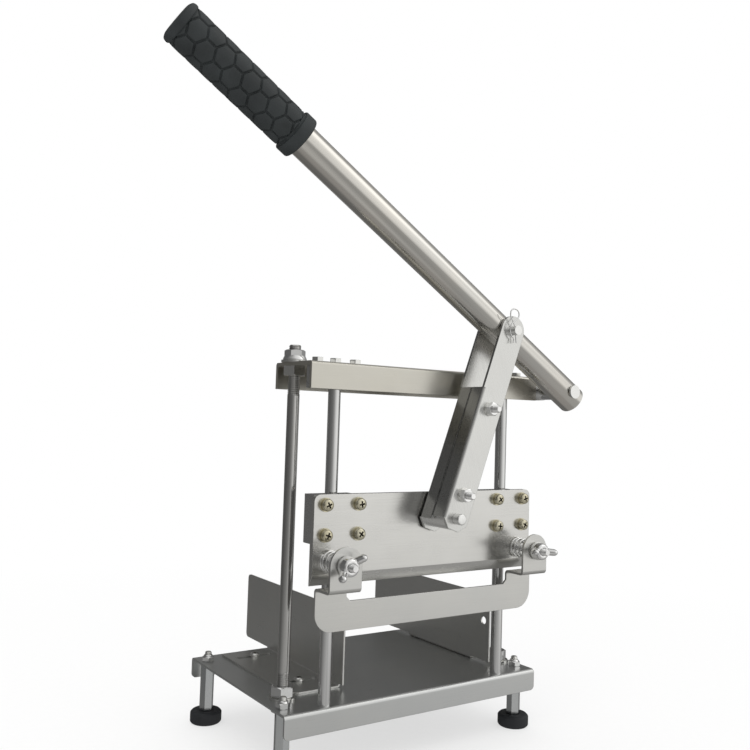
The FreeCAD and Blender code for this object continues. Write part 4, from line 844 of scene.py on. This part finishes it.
# Floor: pale near the part, and as bright as the background farther out
def make_floor():
    gap = 0.1 * MM
    level = cad_box[0][2] - gap
    bpy.ops.mesh.primitive_circle_add(vertices=96, radius=9.0, fill_type="NGON", location=(0, 0, level))
    floor = bpy.context.object
    floor.name = "floor"
    g = Graph("pale_floor")
    away = g.add("ShaderNodeVectorMath", {0: g.coords}, operation="LENGTH").outputs["Value"]
    speck = g.noise(g.coords, scale=140.0)
    base = g.mix(g.span(speck, 0.3, 0.7), (0.86, 0.86, 0.855, 1), (0.89, 0.89, 0.885, 1))
    g.wire(Base_Color=base, Roughness=0.8)
    glow = g.add("ShaderNodeEmission", {"Color": (1, 1, 1, 1), "Strength": 1.0}).outputs[0]
    share = g.span(away, 0.10, 0.9, 0.62, 1.0)
    both = g.add("ShaderNodeMixShader", {0: share, 1: g.shader.outputs[0], 2: glow}).outputs[0]
    g.feed(g.nodes["Material Output"].inputs["Surface"], both)
    floor.data.materials.append(g.material)
    floor.visible_glossy = False


make_floor()

# Room brightness by compass bearing (0 = +Y, 90 = +X), at three heights, and its two ends
LEVEL_RING = (
    (0, 0.16), (17, 0.32), (23, 0.20), (30, 0.09), (48, 0.08), (62, 0.24), (80, 0.30), (98, 0.42),
    (110, 0.80), (122, 0.98), (132, 0.92), (139, 1.03), (144, 1.05), (151, 0.95), (168, 0.84), (186, 0.60),
    (203, 0.34), (235, 0.18), (285, 0.12), (325, 0.115), (342, 0.125), (360, 0.16),
)
HIGH_RING = (
    (0, 0.13), (40, 0.16), (62, 0.42), (85, 0.38), (97, 0.66), (112, 1.50), (131, 1.50), (146, 0.98),
    (170, 0.8), (200, 0.7), (240, 0.35), (285, 0.12), (345, 0.09), (360, 0.13),
)
LOW_RING = (
    (0, 0.15), (60, 0.20), (110, 0.36), (135, 0.46), (160, 0.44), (176, 0.34), (192, 0.52), (215, 0.52),
    (250, 0.38), (290, 0.16), (345, 0.18), (360, 0.15),
)
CEILING = (0.75, 0.75, 0.74, 1)
GROUND = (0.34, 0.33, 0.32, 1)
FILL = (0.92, 0.92, 0.92, 1)
BACKDROP = (1, 1, 1, 1)
WARMTH = (1.0, 0.995, 0.975)


def make_world():
    """Mirrors see the room, matt surfaces an even fill, and the camera a white backdrop."""
    world = bpy.data.worlds.new("studio")
    bpy.context.scene.world = world
    world.use_nodes = True
    world.node_tree.nodes.clear()
    g = Nodes(world.node_tree)
    way = g.add("ShaderNodeSeparateXYZ", {0: g.add("ShaderNodeTexCoord").outputs["Generated"]})
    turn = g.calc("ARCTAN2", way.outputs[0], way.outputs[1])
    bearing = g.calc("FLOORED_MODULO", g.calc("DIVIDE", turn, 2 * math.pi), 1.0)

    def ring(stops):
        node = g.add("ShaderNodeValToRGB", {0: bearing})
        ramp = node.color_ramp
        while len(ramp.elements) < len(stops):
            ramp.elements.new(0.5)
        for element, (angle, level) in zip(ramp.elements, stops):
            element.position = angle / 360
            element.color = solid(WARMTH, level)
        return node.outputs[0]

    room = ring(LEVEL_RING)
    for start, end, band in (
        (0.22, 0.50, ring(HIGH_RING)),
        (0.80, 0.95, CEILING),
        (-0.04, -0.40, ring(LOW_RING)),
        (-0.85, -0.97, GROUND),
    ):
        inputs = {0: way.outputs[2], 1: start, 2: end}
        share = g.add("ShaderNodeMapRange", inputs, interpolation_type="SMOOTHSTEP").outputs[0]
        room = g.mix(share, room, band)
    path = g.add("ShaderNodeLightPath")
    seen = g.mix(path.outputs["Is Glossy Ray"], FILL, room)
    seen = g.mix(path.outputs["Is Camera Ray"], seen, BACKDROP)
    back = g.add("ShaderNodeBackground", {0: seen, 1: 1.0})
    g.add("ShaderNodeOutputWorld", {0: back.outputs[0]})


make_world()


def area_light(name, place, target, size, power):
    """A soft light that no mirror and no camera sees."""
    data = bpy.data.lights.new(name, "AREA")
    data.shape = "RECTANGLE"
    data.size, data.size_y = size
    data.energy = power
    light = bpy.data.objects.new(name, data)
    bpy.context.scene.collection.objects.link(light)
    light.location = place
    light.rotation_euler = (Vector(target) - Vector(place)).to_track_quat("-Z", "Y").to_euler()
    light.visible_camera = False
    light.visible_glossy = False


area_light("key", (-0.9, -0.9, 1.7), (0, -0.05, 0.15), (1.1, 1.1), 9.0)
area_light("overhead", (0.3, 0.2, 2.0), (0, 0, 0.1), (1.6, 1.2), 6.0)

bpy.context.scene.view_settings.view_transform = "Standard"
